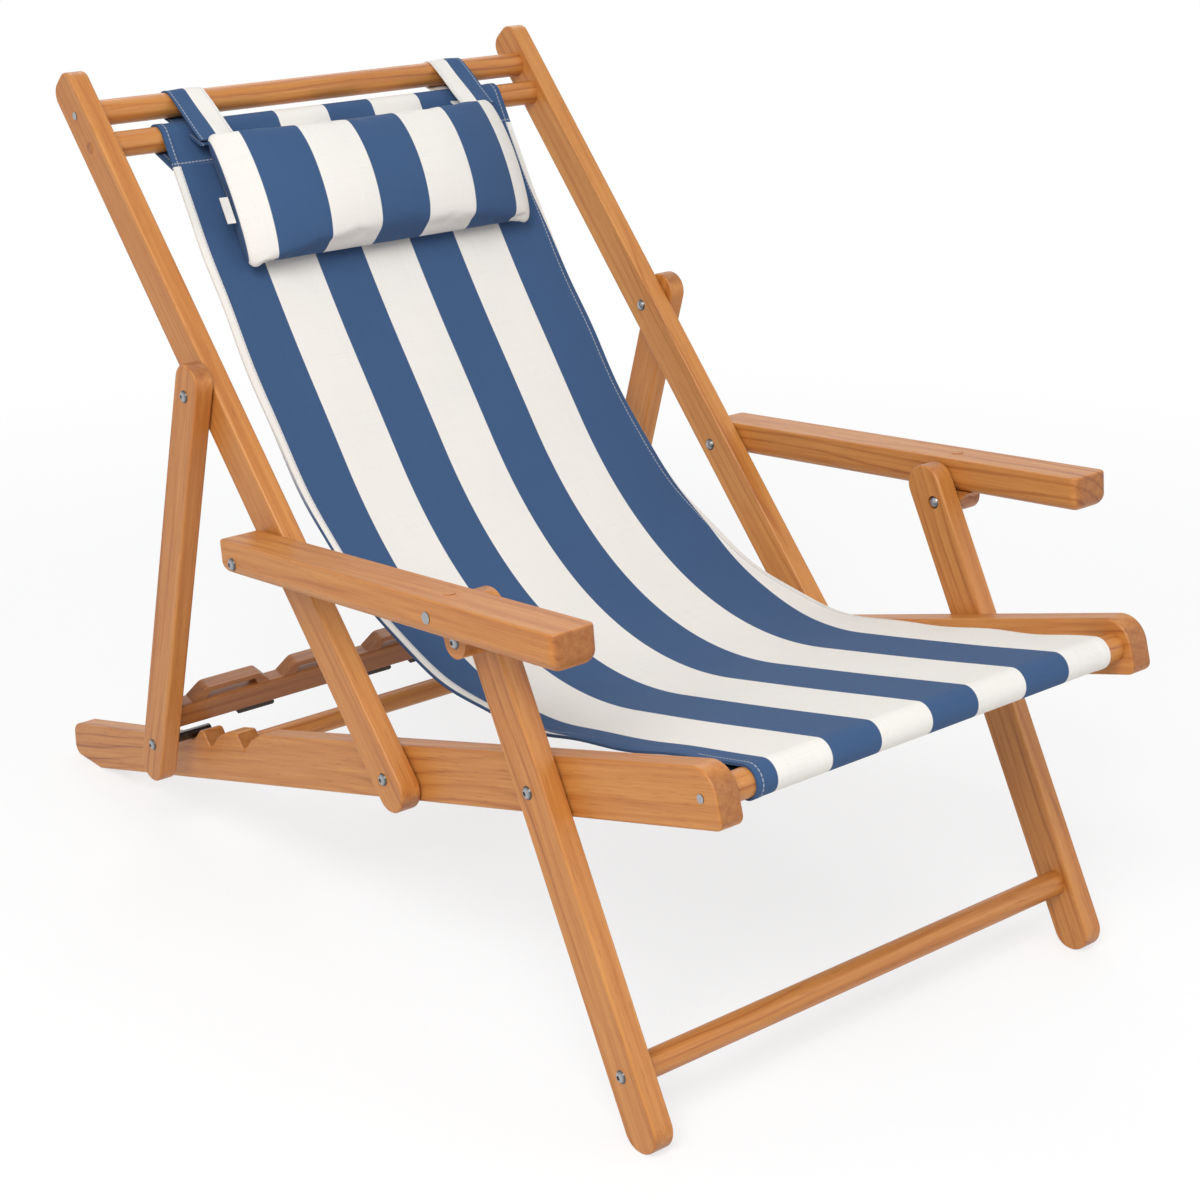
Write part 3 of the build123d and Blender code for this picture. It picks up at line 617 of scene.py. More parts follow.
@dataclass(frozen=True)
class PlainClothFinish:
    """Plain white woven tape."""

    name: str
    dyes: Dyes = Dyes()
    yarn: float = 0.0009
    shade: Colour = (0.94, 0.94, 0.95)
    relief: float = 0.0003

    def material(self) -> bpy.types.Material:
        """Builds the tape.

        Returns:
            The material.
        """
        shader = Shader(self.name)
        across, depth, height = shader.parts(shader.place())
        weave = Weave(shader, depth + across, height, self.yarn)
        dyed = weave.dyed(weave.cloud * 0.02, self.dyes)
        return shader.finish(Base_Color=shader.darkened(dyed, weave.slub * 0.3, self.shade), Roughness=0.8,
                             Normal=shader.bumped(weave.height, self.relief, 0.7))


def polar(angle: float) -> Array:
    """Unit step in the side view at an angle in degrees, as y and z."""
    return np.array([math.cos(math.radians(angle)), math.sin(math.radians(angle))])


def left_of(step: Array) -> Array:
    """The step turned a quarter to its left in the side view."""
    return np.array([-step[1], step[0]])


def angle_of(step: Array) -> float:
    """Angle of a step in the side view, in degrees."""
    return math.degrees(math.atan2(step[1], step[0]))


def unit(step: Array) -> Array:
    """The step at a length of 1."""
    return step / np.linalg.norm(step)


def reach(start: Array, length: float, angle: float, aside: float = 0.0) -> Array:
    """Point a length along an angle from a start, and a distance to the left of that way."""
    return start + polar(angle) * length + left_of(polar(angle)) * aside


def arc(centre: Array, radius: float, start: float, end: float, count: int) -> Array:
    """Points of an arc: its centre plus its radius times the unit step at even angles, in degrees."""
    angles = np.radians(np.linspace(start, end, count))
    return centre + radius * np.stack([np.cos(angles), np.sin(angles)], 1)


def touch(centre: Array, radius: float, outside: Array, turn: int) -> Array:
    """Point where the line from an outside point touches a circle; turn is 1 or -1, for one of the two."""
    swing = math.degrees(math.acos(radius / np.linalg.norm(outside - centre)))
    return centre + radius * polar(angle_of(outside - centre) + turn * swing)


def round_dowel(centre: Array, radius: float, start: Array, end: Array, way: int) -> Array:
    """Arc round a dowel from one point on it to another.

    Args:
        centre: the dowel's middle.
        radius: the arc's radius.
        start, end: the two points.
        way: 1 turns to the left and -1 to the right.

    Returns:
        The points, one row each.
    """
    begin, finish = angle_of(start - centre), angle_of(end - centre)
    whole_turn = 360.0 * way if (finish - begin) * way < 0 else 0.0
    return arc(centre, radius, begin, finish + whole_turn, 40)


def rounded(corners: Sequence[Array], radii: Sequence[float], count: int = 60) -> Array:
    """Straight runs whose inner corners are rounded by arcs that touch both runs.

    Args:
        corners: the line's ends and corners.
        radii: a radius for each inner corner.
        count: points in each arc.

    Returns:
        The points, one row each.
    """
    pieces = [np.array([corners[0]])]
    for before, corner, after, radius in zip(corners, corners[1:], corners[2:], radii):
        arriving, leaving = unit(corner - before), unit(after - corner)
        cross = arriving[0] * leaving[1] - arriving[1] * leaving[0]
        turn = math.atan2(cross, float(arriving @ leaving))
        start = corner - arriving * radius * math.tan(abs(turn) / 2)
        inwards = left_of(arriving) * math.copysign(1.0, turn)
        begin = angle_of(-inwards)
        pieces.append(arc(start + inwards * radius, radius, begin, begin + math.degrees(turn), count))
    pieces.append(np.array([corners[-1]]))
    return np.concatenate(pieces)


def even(line: Array, spacing: float) -> tuple[Array, Array]:
    """The same line in even steps.

    Args:
        line: its points.
        spacing: length of a step in metres.

    Returns:
        The new points, and the length from the start to each.
    """
    lengths = np.concatenate([[0.0], np.cumsum(np.linalg.norm(np.diff(line, axis=0), axis=1))])
    wanted = np.linspace(0.0, lengths[-1], int(round(lengths[-1] / spacing)) + 1)
    return np.stack([np.interp(wanted, lengths, line[:, axis]) for axis in (0, 1)], 1), wanted


def normals_of(line: Array) -> Array:
    """Unit normals to the left of a line in the side view, one for each point."""
    steps = np.gradient(line, axis=0)
    return np.stack([-steps[:, 1], steps[:, 0]], 1) / np.linalg.norm(steps, axis=1)[:, None]


def bell(value: Array, centre: float, width: float) -> Array:
    """Bell curve of height 1 about a centre."""
    return np.exp(-(((value - centre) / width) ** 2))


def ease(value: Array, low: float, high: float) -> Array:
    """Smooth rise from 0 at low to 1 at high."""
    share = np.clip((value - low) / (high - low), 0.0, 1.0)
    return share * share * (3.0 - 2.0 * share)


def crowded(count: int, share: float) -> Array:
    """Places from -1 to 1, closer to each other near both ends: the sine over a share of a half turn."""
    turns = np.linspace(-math.pi / 2, math.pi / 2, count) * share
    return np.sin(turns) / math.sin(share * math.pi / 2)


def mesh_object(name: str, points: Array, faces: Array, sharp: float = 40.0) -> bpy.types.Object:
    """Puts points and four-sided faces into a new object at the origin.

    Args:
        name: the object's name.
        points: one row per point, in metres.
        faces: one row of four point numbers per face.
        sharp: edges that turn more than this many degrees stay crisp.

    Returns:
        The object, shaded smooth.
    """
    mesh = bpy.data.meshes.new(name)
    mesh.from_pydata(points.reshape(-1, 3), [], faces.reshape(-1, 4).tolist())
    mesh.update()
    mesh.shade_smooth()
    mesh.set_sharp_from_angle(angle=math.radians(sharp))
    made = bpy.data.objects.new(name, mesh)
    bpy.context.scene.collection.objects.link(made)
    return made


def note_place(made: bpy.types.Object, place: Array) -> None:
    """Stores each point's own place in the cloth, a row of three numbers, for its material."""
    attribute = made.data.attributes.new("cloth_place", "FLOAT_VECTOR", "POINT")
    attribute.data.foreach_set("vector", place.astype(np.float32).ravel())


def cloth_shell(name: str, middle: Array, normal: Array, thickness: Array, place: Array) -> bpy.types.Object:
    """Closed thin sheet: a grid of middle points moved half a thickness to both sides and joined at its rim.

    Args:
        name: the object's name.
        middle: grid of middle points, rows along the cloth and columns across it.
        normal: unit normals of the same grid.
        thickness: thickness at each grid point.
        place: the material's place at each grid point.

    Returns:
        The object.
    """
    rows, columns = middle.shape[:2]
    half = normal * thickness[..., None] / 2
    ring = np.concatenate([middle + half, (middle - half)[:, ::-1]], 1)
    ring_place = np.concatenate([place, place[:, ::-1]], 1)
    around = 2 * columns
    number = np.arange(rows * around).reshape(rows, around)
    following = np.roll(number, -1, axis=1)
    sides = np.stack([number[:-1], following[:-1], following[1:], number[1:]], -1).reshape(-1, 4)
    column = np.arange(columns - 1)
    first = np.stack([number[0, column + 1], number[0, column], number[0, around - 1 - column],
                      number[0, around - 2 - column]], -1)
    last = np.stack([number[-1, column], number[-1, column + 1], number[-1, around - 2 - column],
                     number[-1, around - 1 - column]], -1)
    made = mesh_object(name, ring, np.concatenate([sides, first, last]))
    note_place(made, ring_place.reshape(-1, 3))
    outwards(made)
    return made


def hung_sheet(name: str, points: Array, normals: Array, across: Array, lift: Array, thickness: Array,
               place: Array) -> bpy.types.Object:
    """Thin sheet carried along a line: the line's points, moved along X and along the line's normals.

    Args:
        name: the object's name.
        points, normals: the line's points and unit normals in the side view.
        across: grid of places along X, rows along the line.
        lift: grid of distances along the normals.
        thickness: thickness at each grid point.
        place: the material's place at each grid point.

    Returns:
        The object.
    """
    normal = np.zeros((*across.shape, 3))
    normal[..., 1:] = normals[:, None]
    middle = np.empty_like(normal)
    middle[..., 0] = across
    middle[..., 1:] = points[:, None] + normals[:, None] * lift[..., None]
    return cloth_shell(name, middle, normal, thickness, place)


def points_of(mesh: bpy.types.Mesh) -> Array:
    """Reads a mesh's points.

    Args:
        mesh: the mesh.

    Returns:
        The points, one row each.
    """
    flat = np.empty(len(mesh.vertices) * 3)
    mesh.vertices.foreach_get("co", flat)
    return flat.reshape(-1, 3)


def put_points(made: bpy.types.Object, points: Array) -> None:
    """Moves an object's points to new places."""
    made.data.vertices.foreach_set("co", points.ravel())
    made.data.update()


def evaluated(made: bpy.types.Object) -> bpy.types.Mesh:
    """Mesh of an object with its modifiers applied."""
    graph = bpy.context.evaluated_depsgraph_get()
    return bpy.data.meshes.new_from_object(made.evaluated_get(graph), depsgraph=graph)


def outwards(made: bpy.types.Object) -> None:
    """Turns a closed mesh's faces outwards where they point inwards.

    Args:
        made: the mesh's object.
    """
    mesh = made.data
    mesh.calc_loop_triangles()
    corners = np.empty(len(mesh.loop_triangles) * 3, np.int32)
    mesh.loop_triangles.foreach_get("vertices", corners)
    first, second, third = np.moveaxis(points_of(mesh)[corners.reshape(-1, 3)], 1, 0)
    if (first * np.cross(second, third)).sum() < 0:
        mesh.flip_normals()


def give(made: bpy.types.Object, material: bpy.types.Material) -> None:
    """Puts one material on an object in place of any that it has."""
    made.data.materials.clear()
    made.data.materials.append(material)


@dataclass(frozen=True)
class SideView:
    """Places of the frame in the side view as y and z in metres, from the same sizes as the solids."""

    pivot: Pair = (-0.1193, 0.2164)
    rail_angle: float = -16.9
    back_angle: float = 47.0
    front_dowel_ahead: float = 0.434
    sling_dowel_up: float = 0.712
    dowel_spacing: float = 0.039
    dowel_radius: float = 0.013

    def front_dowel(self) -> Array:
        """Middle of the front dowel."""
        return reach(np.array(self.pivot), -self.front_dowel_ahead, self.rail_angle)

    def sling_dowel(self) -> Array:
        """Middle of the dowel that the sling hangs from."""
        return reach(np.array(self.pivot), self.sling_dowel_up, self.back_angle)

    def top_dowel(self) -> Array:
        """Middle of the top dowel."""
        return reach(self.sling_dowel(), self.dowel_spacing, self.back_angle)


@dataclass
class Sling:
    """The hanging cloth: sewn sleeves round two dowels and one sagging line between them."""

    view: SideView
    top_width: float = 0.430
    front_width: float = 0.438
    cloth: float = 0.0016
    ease_round_dowel: float = 0.0006
    sag_up: float = 0.5036
    back_sag: float = 0.031
    back_radius: float = 1.8
    seat_back: float = 0.0662
    seat_lift: float = 0.0456
    bend_radius: float = 0.43
    sleeve: float = 0.038
    sleeve_gap: float = 0.0004
    row_step: float = 0.0032
    columns: int = 84
    crowding: float = 0.92
    ripples: tuple[tuple[float, ...], ...] = ((0.0013, 0.022, 46.0, 0.9), (0.0009, 0.05, 21.0, 2.1))
    still_top: Pair = (0.05, 0.16)
    still_front: Pair = (0.20, 0.09)
    slack: float = 0.004
    slack_place: float = 0.62
    slack_spread: float = 0.20
    curl: float = 0.0016
    curl_fade: float = 0.006
    hem_extra: float = 0.55
    hem_step: Pair = (0.0075, 0.0095)
    finish: CanvasFinish = CanvasFinish("striped_canvas")

    def wrap_radius(self) -> float:
        """Radius of the cloth's middle where it goes round a dowel."""
        return self.view.dowel_radius + self.ease_round_dowel + self.cloth / 2

    def corners(self) -> tuple[Array, Array, Array, Array]:
        """Ends and corners of the hanging line.

        Returns:
            Where it leaves the sling dowel, its two corners, and where it meets the front dowel.
        """
        pivot = np.array(self.view.pivot)
        sag = reach(pivot, self.sag_up, self.view.back_angle, -self.back_sag)
        seat = reach(pivot, self.seat_back, self.view.rail_angle, self.seat_lift)
        top = touch(self.view.sling_dowel(), self.wrap_radius(), sag, -1)
        front = touch(self.view.front_dowel(), self.wrap_radius(), seat, 1)
        return top, sag, seat, front

    def line(self) -> tuple[Array, Array]:
        """The cloth's whole line in the side view, from the upper seam to the front one.

        Returns:
            Its points, and the length from where it leaves the sling dowel, which is negative on the sleeve.
        """
        top, sag, seat, front = self.corners()
        radius, gap = self.wrap_radius(), self.cloth + self.sleeve_gap
        down, rearwards = unit(sag - top), unit(seat - front)
        upper_dowel, front_dowel = self.view.sling_dowel(), self.view.front_dowel()
        upper_seam = top + down * self.sleeve + left_of(down) * gap
        front_seam = front + rearwards * self.sleeve - left_of(rearwards) * gap
        behind = touch(upper_dowel, radius, upper_seam, 1)
        below = touch(front_dowel, radius, front_seam, -1)
        upper = round_dowel(upper_dowel, radius, behind, top, 1)
        lower = round_dowel(front_dowel, radius, front, below, 1)
        hanging = rounded([top, sag, seat, front], [self.back_radius, self.bend_radius])
        whole = np.concatenate([[upper_seam], upper, hanging[1:-1], lower, [front_seam]])
        points, lengths = even(whole, self.row_step)
        leaves = np.argmin(np.linalg.norm(points - top, axis=1))
        return points, lengths - lengths[leaves]

    def build(self) -> tuple[bpy.types.Object, Pair, float]:
        """Builds the sheet as a function of the length along its line and the place across it.

        A point is the line's point, moved across by the place times the half width and off the line by the
        cloth's small ripples.

        Returns:
            The sheet, its flat width and length, and its flat area.
        """
        points, along = self.line()
        share = np.clip(along / along[-1], 0.0, 1.0)
        half = (self.top_width + (self.front_width - self.top_width) * share) / 2
        place = crowded(self.columns, self.crowding)
        across = half[:, None] * place
        edge = half[:, None] - abs(across)
        far, near = self.still_front
        hanging = ease(along, *self.still_top) * (1 - ease(along, along[-1] - far, along[-1] - near))
        runs = along[:, None]
        ripple = sum(height * np.exp(-edge / fade) * np.sin(runs * pace + np.sign(across) * start)
                     for height, fade, pace, start in self.ripples)
        slack = -self.slack * (1 - place ** 2) * bell(runs, self.slack_place, self.slack_spread)
        curl = -self.curl * np.exp(-edge / self.curl_fade)
        lift = hanging[:, None] * (ripple + slack + curl)
        thickness = self.cloth * (1 + self.hem_extra * (1 - ease(edge, *self.hem_step)))
        stored = np.stack([across, np.broadcast_to(runs, across.shape), edge], -1)
        made = hung_sheet("sling", points, -normals_of(points), across, lift, thickness, stored)
        area = float(np.trapz(2 * half, along))
        return made, (self.front_width, float(along[-1] - along[0])), area

    def dress(self) -> None:
        """Builds the sling, gives it its canvas, and hides the solid sling pieces."""
        made, flat, area = self.build()
        give(made, self.finish.material())
        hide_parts("sling_back", "sling_bend", "sling_seat")
        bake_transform(made)
        LOG.info("sling: flat %.3f by %.3f m", *flat)


@dataclass
class HeadPillow:
    """The stuffed pillow on the sling, its tag and the straps that loop over the top dowel."""

    view: SideView
    sling: Sling
    length: float = 0.376
    width: float = 0.158
    belly: float = 0.018
    crown: float = 0.044
    end_width: float = 0.98
    end_fill: float = 0.25
    end_fall: float = 3.2
    end_round: float = 0.8
    shoulder: float = 0.72
    corner: float = 0.010
    fullness: float = 0.95
    top_gap: float = 0.008
    strap_width: float = 0.042
    strap_inset: float = 0.022
    strap_cloth: float = 0.0016
    strap_tuck: float = 0.011
    strap_ease: float = 0.0005
    strap_lap: float = 0.004
    strap_gap: float = 0.0004
    strap_step: float = 0.002
    strap_columns: int = 17
    strap_wave: float = 0.0004
    strap_pace: Pair = (90.0, 160.0)
    tag_size: Pair = (0.010, 0.028)
    tag_grid: tuple[int, int] = (7, 13)
    tag_cloth: float = 0.0011
    tag_tuck: float = 0.004
    tag_down: float = 0.012
    tag_out: float = 0.010
    tag_slope: float = 0.02
    tag_curl: float = 0.6
    start_share: float = 0.95
    stations: int = 104
    around: int = 90
    crowding: float = 0.8
    pressure: float = 3.2
    frames: int = 18
    most_swell: float = 0.007
    off_sling: float = 0.0027
    clear_of_sling: float = 0.0014
    rest_pace: float = 600.0
    pucker: float = 0.0003
    pucker_pace: float = 210.0
    pucker_fade: float = 0.012
    cover: PillowFinish = PillowFinish("banded_pillow")
    webbing: WebbingFinish = WebbingFinish("two_tone_strap")
    tape: PlainClothFinish = PlainClothFinish("white_tape")
    axes: tuple[Array, Array, Array] = field(init=False)

    def __post_init__(self) -> None:
        """Works out the pillow's middle, its way down the sling and its way out from it."""
        top, sag, _, _ = self.sling.corners()
        down = unit(sag - top)
        out = -left_of(down)
        middle = top + down * (self.top_gap + self.width / 2) + out * (self.belly + self.off_sling)
        self.axes = (middle, down, out)

    def in_space(self, x: Array, down: Array, out: Array) -> Array:
        """Points of the chair's frame from places along X, down the pillow and out of it.

        Args:
            x, down, out: places in metres, of the same shape.

        Returns:
            The points.
        """
        middle, down_step, out_step = self.axes
        side = middle + down[..., None] * down_step + out[..., None] * out_step
        return np.concatenate([x[..., None], side], -1)

    def form(self, share: float) -> tuple[Array, Array, Array]:
        """Pillow as a function of the place along X and the turn round its section.

        Its section is two arcs between the upper and the lower seam. Its thickness falls from the middle to
        both ends, its width hardly does, and a flat panel closes each end.

        Args:
            share: size of the form against the finished pillow.

        Returns:
            The grid of points, its faces, and each point's place in the cover.
        """
        station = crowded(self.stations, self.crowding)
        width = 1 - (1 - self.end_width) * ease(abs(station), self.shoulder, 1.0)
        inside = np.minimum(self.corner, (1 - abs(station)) * self.length / 2)
        cut = self.corner - np.sqrt(self.corner ** 2 - (self.corner - inside) ** 2)
        width -= cut / (self.width / 2)
        fill = self.end_fill + (1 - self.end_fill) * (1 - abs(station) ** self.end_fall) ** self.end_round
        turn = np.linspace(0.0, 2 * math.pi, self.around, endpoint=False)
        rise = np.where(turn < math.pi, self.crown, -self.belly) * abs(np.sin(turn)) ** self.fullness
        x = station * self.length / 2 * (0.5 + share / 2)
        grid = self.in_space(
            np.broadcast_to(x[:, None], (len(x), self.around)),
            -share * self.width / 2 * width[:, None] * np.cos(turn),
            share * fill[:, None] * rise,
        )
        number = np.arange(len(x) * self.around).reshape(len(x), self.around)
        following = np.roll(number, -1, axis=1)
        sides = np.stack([number[:-1], number[1:], following[1:], following[:-1]], -1).reshape(-1, 4)
        column = np.arange(1, self.around // 2 - 1)
        ends = [np.stack([row[column], row[column + 1], row[-column - 1], row[-column]], -1)[:, ::way]
                for row, way in ((number[0], 1), (number[-1], -1))]
        flat = np.zeros_like(grid)
        flat[..., 0] = station[:, None] * self.length / 2
        flat[..., 1] = turn * self.width / math.pi
        flat[[0, -1], :, 2] = 1.0
        return grid, np.concatenate([sides, *ends]), flat

    def swollen(self, made: bpy.types.Object) -> None:
        """Fills the pillow by a short cloth simulation and keeps its result in the mesh.

        Args:
            made: the pillow's object, without modifiers.
        """
        before = points_of(made.data)
        cloth = made.modifiers.new("filling", "CLOTH")
        settings = {"quality": 6, "mass": 0.25, "tension_stiffness": 18.0, "compression_stiffness": 18.0,
                    "bending_stiffness": 0.8, "use_pressure": True, "uniform_pressure_force": self.pressure}
        for name, level in settings.items():
            setattr(cloth.settings, name, level)
        cloth.settings.effector_weights.gravity = 0.0
        scene = bpy.context.scene
        for number in range(1, self.frames + 1):
            scene.frame_set(number)
        after = points_of(evaluated(made))
        made.modifiers.clear()
        scene.frame_set(1)
        moved = after - before
        far = np.linalg.norm(moved, axis=1)[:, None]
        put_points(made, before + moved * np.minimum(1.0, self.most_swell / np.maximum(far, 1e-9)))

    def laid(self, made: bpy.types.Object) -> None:
        """Flattens the pillow where it lies on the sling, and draws its seams in.

        Args:
            made: the pillow's object.
        """
        points = points_of(made.data)
        middle, down_step, out_step = self.axes
        side = points[:, 1:] - middle
        down, out = side @ down_step, side @ out_step
        run = np.maximum(down + self.top_gap + self.width / 2, 0.0)
        curve = run ** 2 / (2 * self.sling.back_radius)
        rest = curve - self.belly - self.off_sling + self.clear_of_sling
        near_rest = np.logaddexp((out - rest) * self.rest_pace, 0.0) / self.rest_pace + rest
        to_seam = abs(abs(down) - self.width / 2)
        pucker = self.pucker * np.sin(points[:, 0] * self.pucker_pace) * np.exp(-to_seam / self.pucker_fade)
        put_points(made, self.in_space(points[:, 0], down, near_rest + pucker))

    def build_pillow(self) -> bpy.types.Object:
        """Builds the stuffed pillow.

        Returns:
            The pillow's object.
        """
        grid, faces, flat = self.form(self.start_share)
        made = mesh_object("head_pillow", grid, faces)
        note_place(made, flat)
        outwards(made)
        self.swollen(made)
        self.laid(made)
        smooth = made.modifiers.new("soft_faces", "SUBSURF")
        smooth.levels = 1
        smooth.render_levels = 1
        made.data = evaluated(made)
        made.modifiers.clear()
        made.name = "head_pillow"
        made.data.shade_smooth()
        return made

    def build_strap(self, side: Side) -> tuple[bpy.types.Object, float]:
        """Builds a strap as a band carried along a loop from the pillow's seam round the top dowel and back.

        Args:
            side: the side of the chair that it is on.

        Returns:
            The strap and its flat length.
        """
        middle, down_step, out_step = self.axes
        seam = middle - down_step * (self.width / 2 - self.strap_tuck)
        dowel = self.view.top_dowel()
        radius = self.view.dowel_radius + self.strap_ease + self.strap_cloth / 2
        lower_end = seam + down_step * self.strap_lap - out_step * (self.strap_cloth + self.strap_gap)
        front = touch(dowel, radius, seam, -1)
        rear = touch(dowel, radius, lower_end, 1)
        loop = round_dowel(dowel, radius, front, rear, -1)
        points, along = even(np.concatenate([[seam], loop, [lower_end]]), self.strap_step)
        place = np.linspace(-0.5, 0.5, self.strap_columns) * self.strap_width
        runs, shape = along[:, None], (len(points), len(place))
        along_pace, across_pace = self.strap_pace
        wave = self.strap_wave * np.sin(runs * along_pace + place * across_pace)
        beside = np.broadcast_to(place, shape)
        edge = self.strap_width / 2 - abs(beside)
        stored = np.stack([beside * side.value, np.broadcast_to(runs, shape), edge], -1)
        across = beside + side.value * (self.length / 2 - self.strap_inset)
        thickness = np.full(shape, self.strap_cloth)
        name = f"pillow_loop_{side.name.lower()}"
        made = hung_sheet(name, points, normals_of(points), across, wave, thickness, stored)
        return made, float(along[-1])

    def build_tag(self) -> bpy.types.Object:
        """Builds the blank folded tag that stands out of the near end's seam.

        Returns:
            The tag.
        """
        (width, height), (columns, rows) = self.tag_size, self.tag_grid
        down = np.linspace(-height / 2, height / 2, rows)[:, None] + np.zeros(columns)
        stand = np.linspace(0.0, width, columns) + np.zeros((rows, 1))
        x = -self.length / 2 + self.tag_tuck - stand
        out = self.tag_out + self.tag_slope * stand + self.tag_curl * stand ** 1.5
        middle = self.in_space(x, down + self.tag_down, out)
        normal = np.zeros_like(middle)
        normal[..., 1:] = self.axes[2]
        thickness = np.full((rows, columns), self.tag_cloth)
        return cloth_shell("pillow_tag", middle, normal, thickness, np.zeros_like(middle))

    def dress(self) -> None:
        """Builds the pillow, its straps and its tag, and lets them ride on the pillow's body."""
        pillow = self.build_pillow()
        give(pillow, self.cover.material())
        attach(pillow, "head_pillow")
        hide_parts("pillow")
        LOG.info("pillow: %d points", len(pillow.data.vertices))
        webbing = self.webbing.material()
        for side in Side:
            strap, length = self.build_strap(side)
            give(strap, webbing)
            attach(strap, "head_pillow")
            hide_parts(f"pillow_strap_{side.name.lower()}")
            LOG.info("strap %s: %.3f m long", side.name.lower(), length)
        tag = self.build_tag()
        give(tag, self.tape.material())
        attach(tag, "head_pillow")
        LOG.info("tag")


@dataclass
class Woodwork:
    """The wooden frame: solids that keep their shape and get wood along their own grain."""

    # Painted shade: the prop's cross rail and hand loops get darker wood tones.
    shaded: tuple[str, ...] = ("prop_cross_rail", "hand_loop")
    shaded_tones: tuple[Colour, Colour, Colour] = (tone(172, 110, 56), tone(144, 85, 38), tone(96, 51, 20))
    grains: dict[str, Grain] = field(default_factory=lambda: {
        "seat_rail": Grain.SEAT_RAIL,
        "back_rail": Grain.BACK_RAIL,
        "front_leg": Grain.FRONT_LEG,
        "armrest": Grain.ARMREST,
        "arm_lug": Grain.ARMREST,
        "prop_strut": Grain.PROP_STRUT,
        "prop_cross_rail": Grain.ACROSS,
        "hand_loop": Grain.ACROSS,
        "front_sling_dowel": Grain.ACROSS,
        "rear_stretcher": Grain.ACROSS,
        "top_dowel": Grain.ACROSS,
        "sling_dowel": Grain.ACROSS,
        "leg_stretcher": Grain.ACROSS,
        "arm_plugs": Grain.SEAT_RAIL,
    })

    def grain_of(self, name: str) -> Grain | None:
        """Grain of the longest name that a node's name starts with, or None where it isn't wood."""
        fits = [start for start in self.grains if name.startswith(start)]
        return self.grains[max(fits, key=len)] if fits else None

    def dress(self, nodes: dict[str, bpy.types.Object], hardware: Sequence[str]) -> None:
        """Gives each wooden solid the wood of its grain, and the shaded parts a darker copy as painted shade.

        Args:
            nodes: the solids by name.
            hardware: names of the solids that are metal.
        """
        woods = {grain: WoodFinish(f"wood_{grain.name.lower()}", grain).material() for grain in Grain}
        # Darker copy of the wood, painted shade for the cross rail and hand loops.
        painted_shade_wood = WoodFinish("wood_rack_painted_shade", Grain.ACROSS, *self.shaded_tones).material()
        for name, node in nodes.items():
            grain = self.grain_of(name)
            if grain and name not in hardware:
                give(node, painted_shade_wood if name.startswith(self.shaded) else woods[grain])
                LOG.info("wood: %s", name)


@dataclass
class Hardware:
    """Bolts, pegs, washers, screws and pads."""

    words: tuple[str, ...] = ("bolt", "washers", "peg", "screws", "pins")
    steel: SteelFinish = SteelFinish("plated_steel")
    rubber: RubberFinish = RubberFinish("dark_rubber")

    def names(self, nodes: dict[str, bpy.types.Object]) -> list[str]:
        """Names of the solids that are metal."""
        return [name for name in nodes if any(word in name for word in self.words)]

    def dress(self, nodes: dict[str, bpy.types.Object]) -> None:
        """Gives the metal solids their steel and the pads their rubber.

        Args:
            nodes: the solids by name.
        """
        steel = self.steel.material()
        for name in self.names(nodes):
            give(nodes[name], steel)
            LOG.info("steel: %s", name)
        give(nodes["rest_pads"], self.rubber.material())


@dataclass(frozen=True)
class Lamp:
    """A square soft lamp: where it hangs, its side in metres and its power."""

    name: str
    place: Point
    size: float
    watts: float


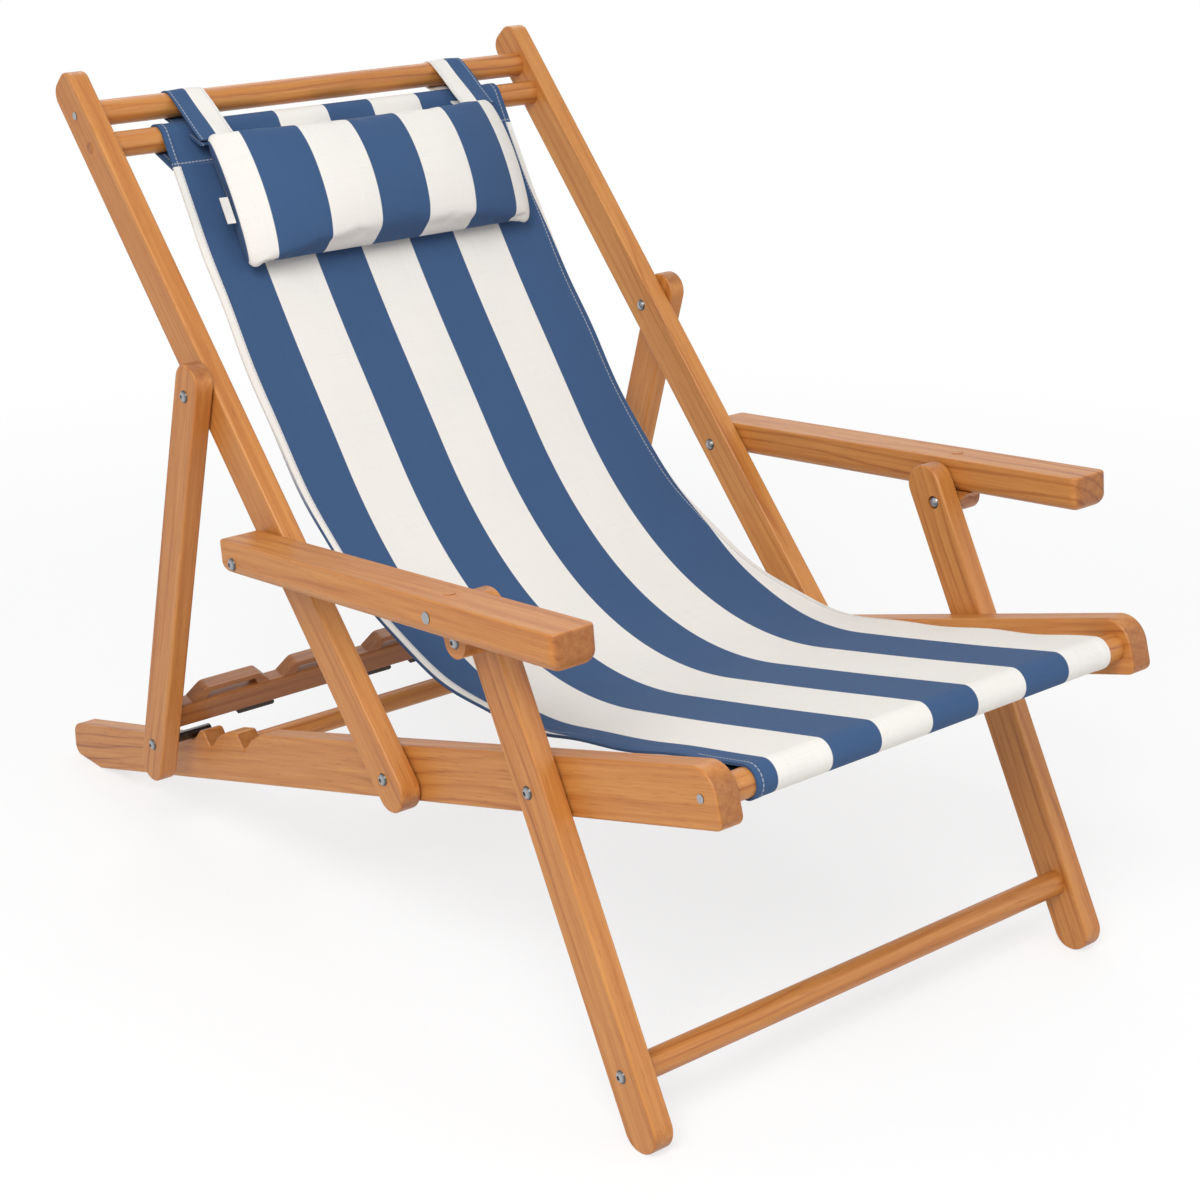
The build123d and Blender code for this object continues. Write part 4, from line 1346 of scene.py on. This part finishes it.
@dataclass
class Studio:
    """White floor and background, soft light, and the camera at the photograph's place."""

    eye: Point = (-1.4256, -1.8161, 1.1673)
    towards_eye: Point = (-0.59418, -0.72167, 0.35516)
    lens: float = 71.96
    sensor_width: float = 36.0
    clip_end: float = 100.0
    lamps: tuple[Lamp, ...] = (
        Lamp("key", (-2.0, -1.6, 2.6), 1.8, 76.0),
        Lamp("front_fill", (1.6, -2.8, 1.5), 2.4, 17.0),
        Lamp("rear_rim", (1.4, 2.2, 2.6), 1.8, 18.0),
    )
    lit_point: Point = (0.0, 0.0, 0.35)
    white: Colour = (1.0, 1.0, 1.0)
    sky_colour: Colour = (0.97, 0.985, 1.0)
    sky: float = 0.50
    floor_reach: float = 30.0
    floor_lines: int = 13
    floor_bounce: float = 0.8
    floor_glow: float = 0.70
    floor_colour: float = 0.30
    floor_fade_start: float = 1.0
    floor_fade_end: float = 2.2

    def put(self, name: str, data: bpy.types.ID, place: Point, way: Vector) -> bpy.types.Object:
        """Puts a camera or a lamp in the scene.

        Args:
            name: the object's name.
            data: the camera or the lamp.
            place: where it is.
            way: the way that it points.

        Returns:
            The object.
        """
        made = bpy.data.objects.new(name, data)
        made.location = place
        made.rotation_mode = "QUATERNION"
        made.rotation_quaternion = way.to_track_quat("-Z", "Y")
        bpy.context.scene.collection.objects.link(made)
        return made

    def camera(self) -> None:
        """Puts the camera where the photograph was taken from."""
        data = bpy.data.cameras.new("camera")
        data.lens = self.lens
        data.sensor_width = self.sensor_width
        data.clip_end = self.clip_end
        bpy.context.scene.camera = self.put("camera", data, self.eye, -Vector(self.towards_eye))

    def light(self) -> None:
        """Hangs the lamps, each pointed at the chair."""
        for lamp in self.lamps:
            data = bpy.data.lights.new(lamp.name, "AREA")
            data.shape = "SQUARE"
            data.size = lamp.size
            data.energy = lamp.watts
            self.put(lamp.name, data, lamp.place, Vector(self.lit_point) - Vector(lamp.place))

    def background(self) -> None:
        """White to the camera, and a soft even light to everything else."""
        world = bpy.data.worlds.new("studio")
        bpy.context.scene.world = world
        world.use_nodes = True
        graph = Graph(world.node_tree)
        soft = graph.node("ShaderNodeBackground", None, {"Color": self.sky_colour, "Strength": self.sky})
        white = graph.node("ShaderNodeBackground", None, {"Color": self.white})
        graph.put_out("ShaderNodeOutputWorld", graph.between(graph.seen(), soft, white))

    def floor(self) -> None:
        """Pale floor that shows as white where it is lit and keeps the chair's shadow."""
        reach_out = np.linspace(-self.floor_reach, self.floor_reach, self.floor_lines)
        x, y = np.meshgrid(reach_out, reach_out, indexing="ij")
        grid = np.stack([x, y, np.zeros_like(x)], -1)
        number = np.arange(x.size).reshape(x.shape)
        faces = np.stack([number[:-1, :-1], number[1:, :-1], number[1:, 1:], number[:-1, 1:]], -1)
        made = mesh_object("floor", grid, faces)
        material = bpy.data.materials.new("pale_floor")
        material.use_nodes = True
        graph = Graph(material.node_tree)
        matt, pale = (graph.node("ShaderNodeBsdfDiffuse", None, {"Color": [level] * 3})
                      for level in (self.floor_colour, self.floor_bounce))
        glow = graph.node("ShaderNodeEmission", None, {"Color": self.white, "Strength": self.floor_glow})
        white = graph.node("ShaderNodeEmission", None, {"Color": self.white})
        both = graph.node("ShaderNodeAddShader", None, {0: matt, 1: glow})
        far = graph.node("ShaderNodeVectorMath", {"operation": "LENGTH"}, {0: graph.place()}, "Value")
        faded = graph.between(far.step(self.floor_fade_start, self.floor_fade_end), both, white)
        graph.put_out("ShaderNodeOutputMaterial", graph.between(graph.seen(), pale, faded))
        give(made, material)

    def build(self) -> None:
        """Builds the whole studio."""
        bpy.context.scene.view_settings.view_transform = "Standard"
        self.camera()
        self.background()
        self.floor()
        self.light()


def main() -> None:
    """Builds the studio and every sub-assembly in order, and reports each piece."""
    logging.basicConfig(level=logging.INFO, format="%(name)s %(message)s")
    nodes = frame["nodes"]
    view = SideView()
    Studio().build()
    hardware = Hardware()
    Woodwork().dress(nodes, hardware.names(nodes))
    hardware.dress(nodes)
    sling = Sling(view)
    sling.dress()
    HeadPillow(view, sling).dress()


if __name__ == "__main__":
    main()
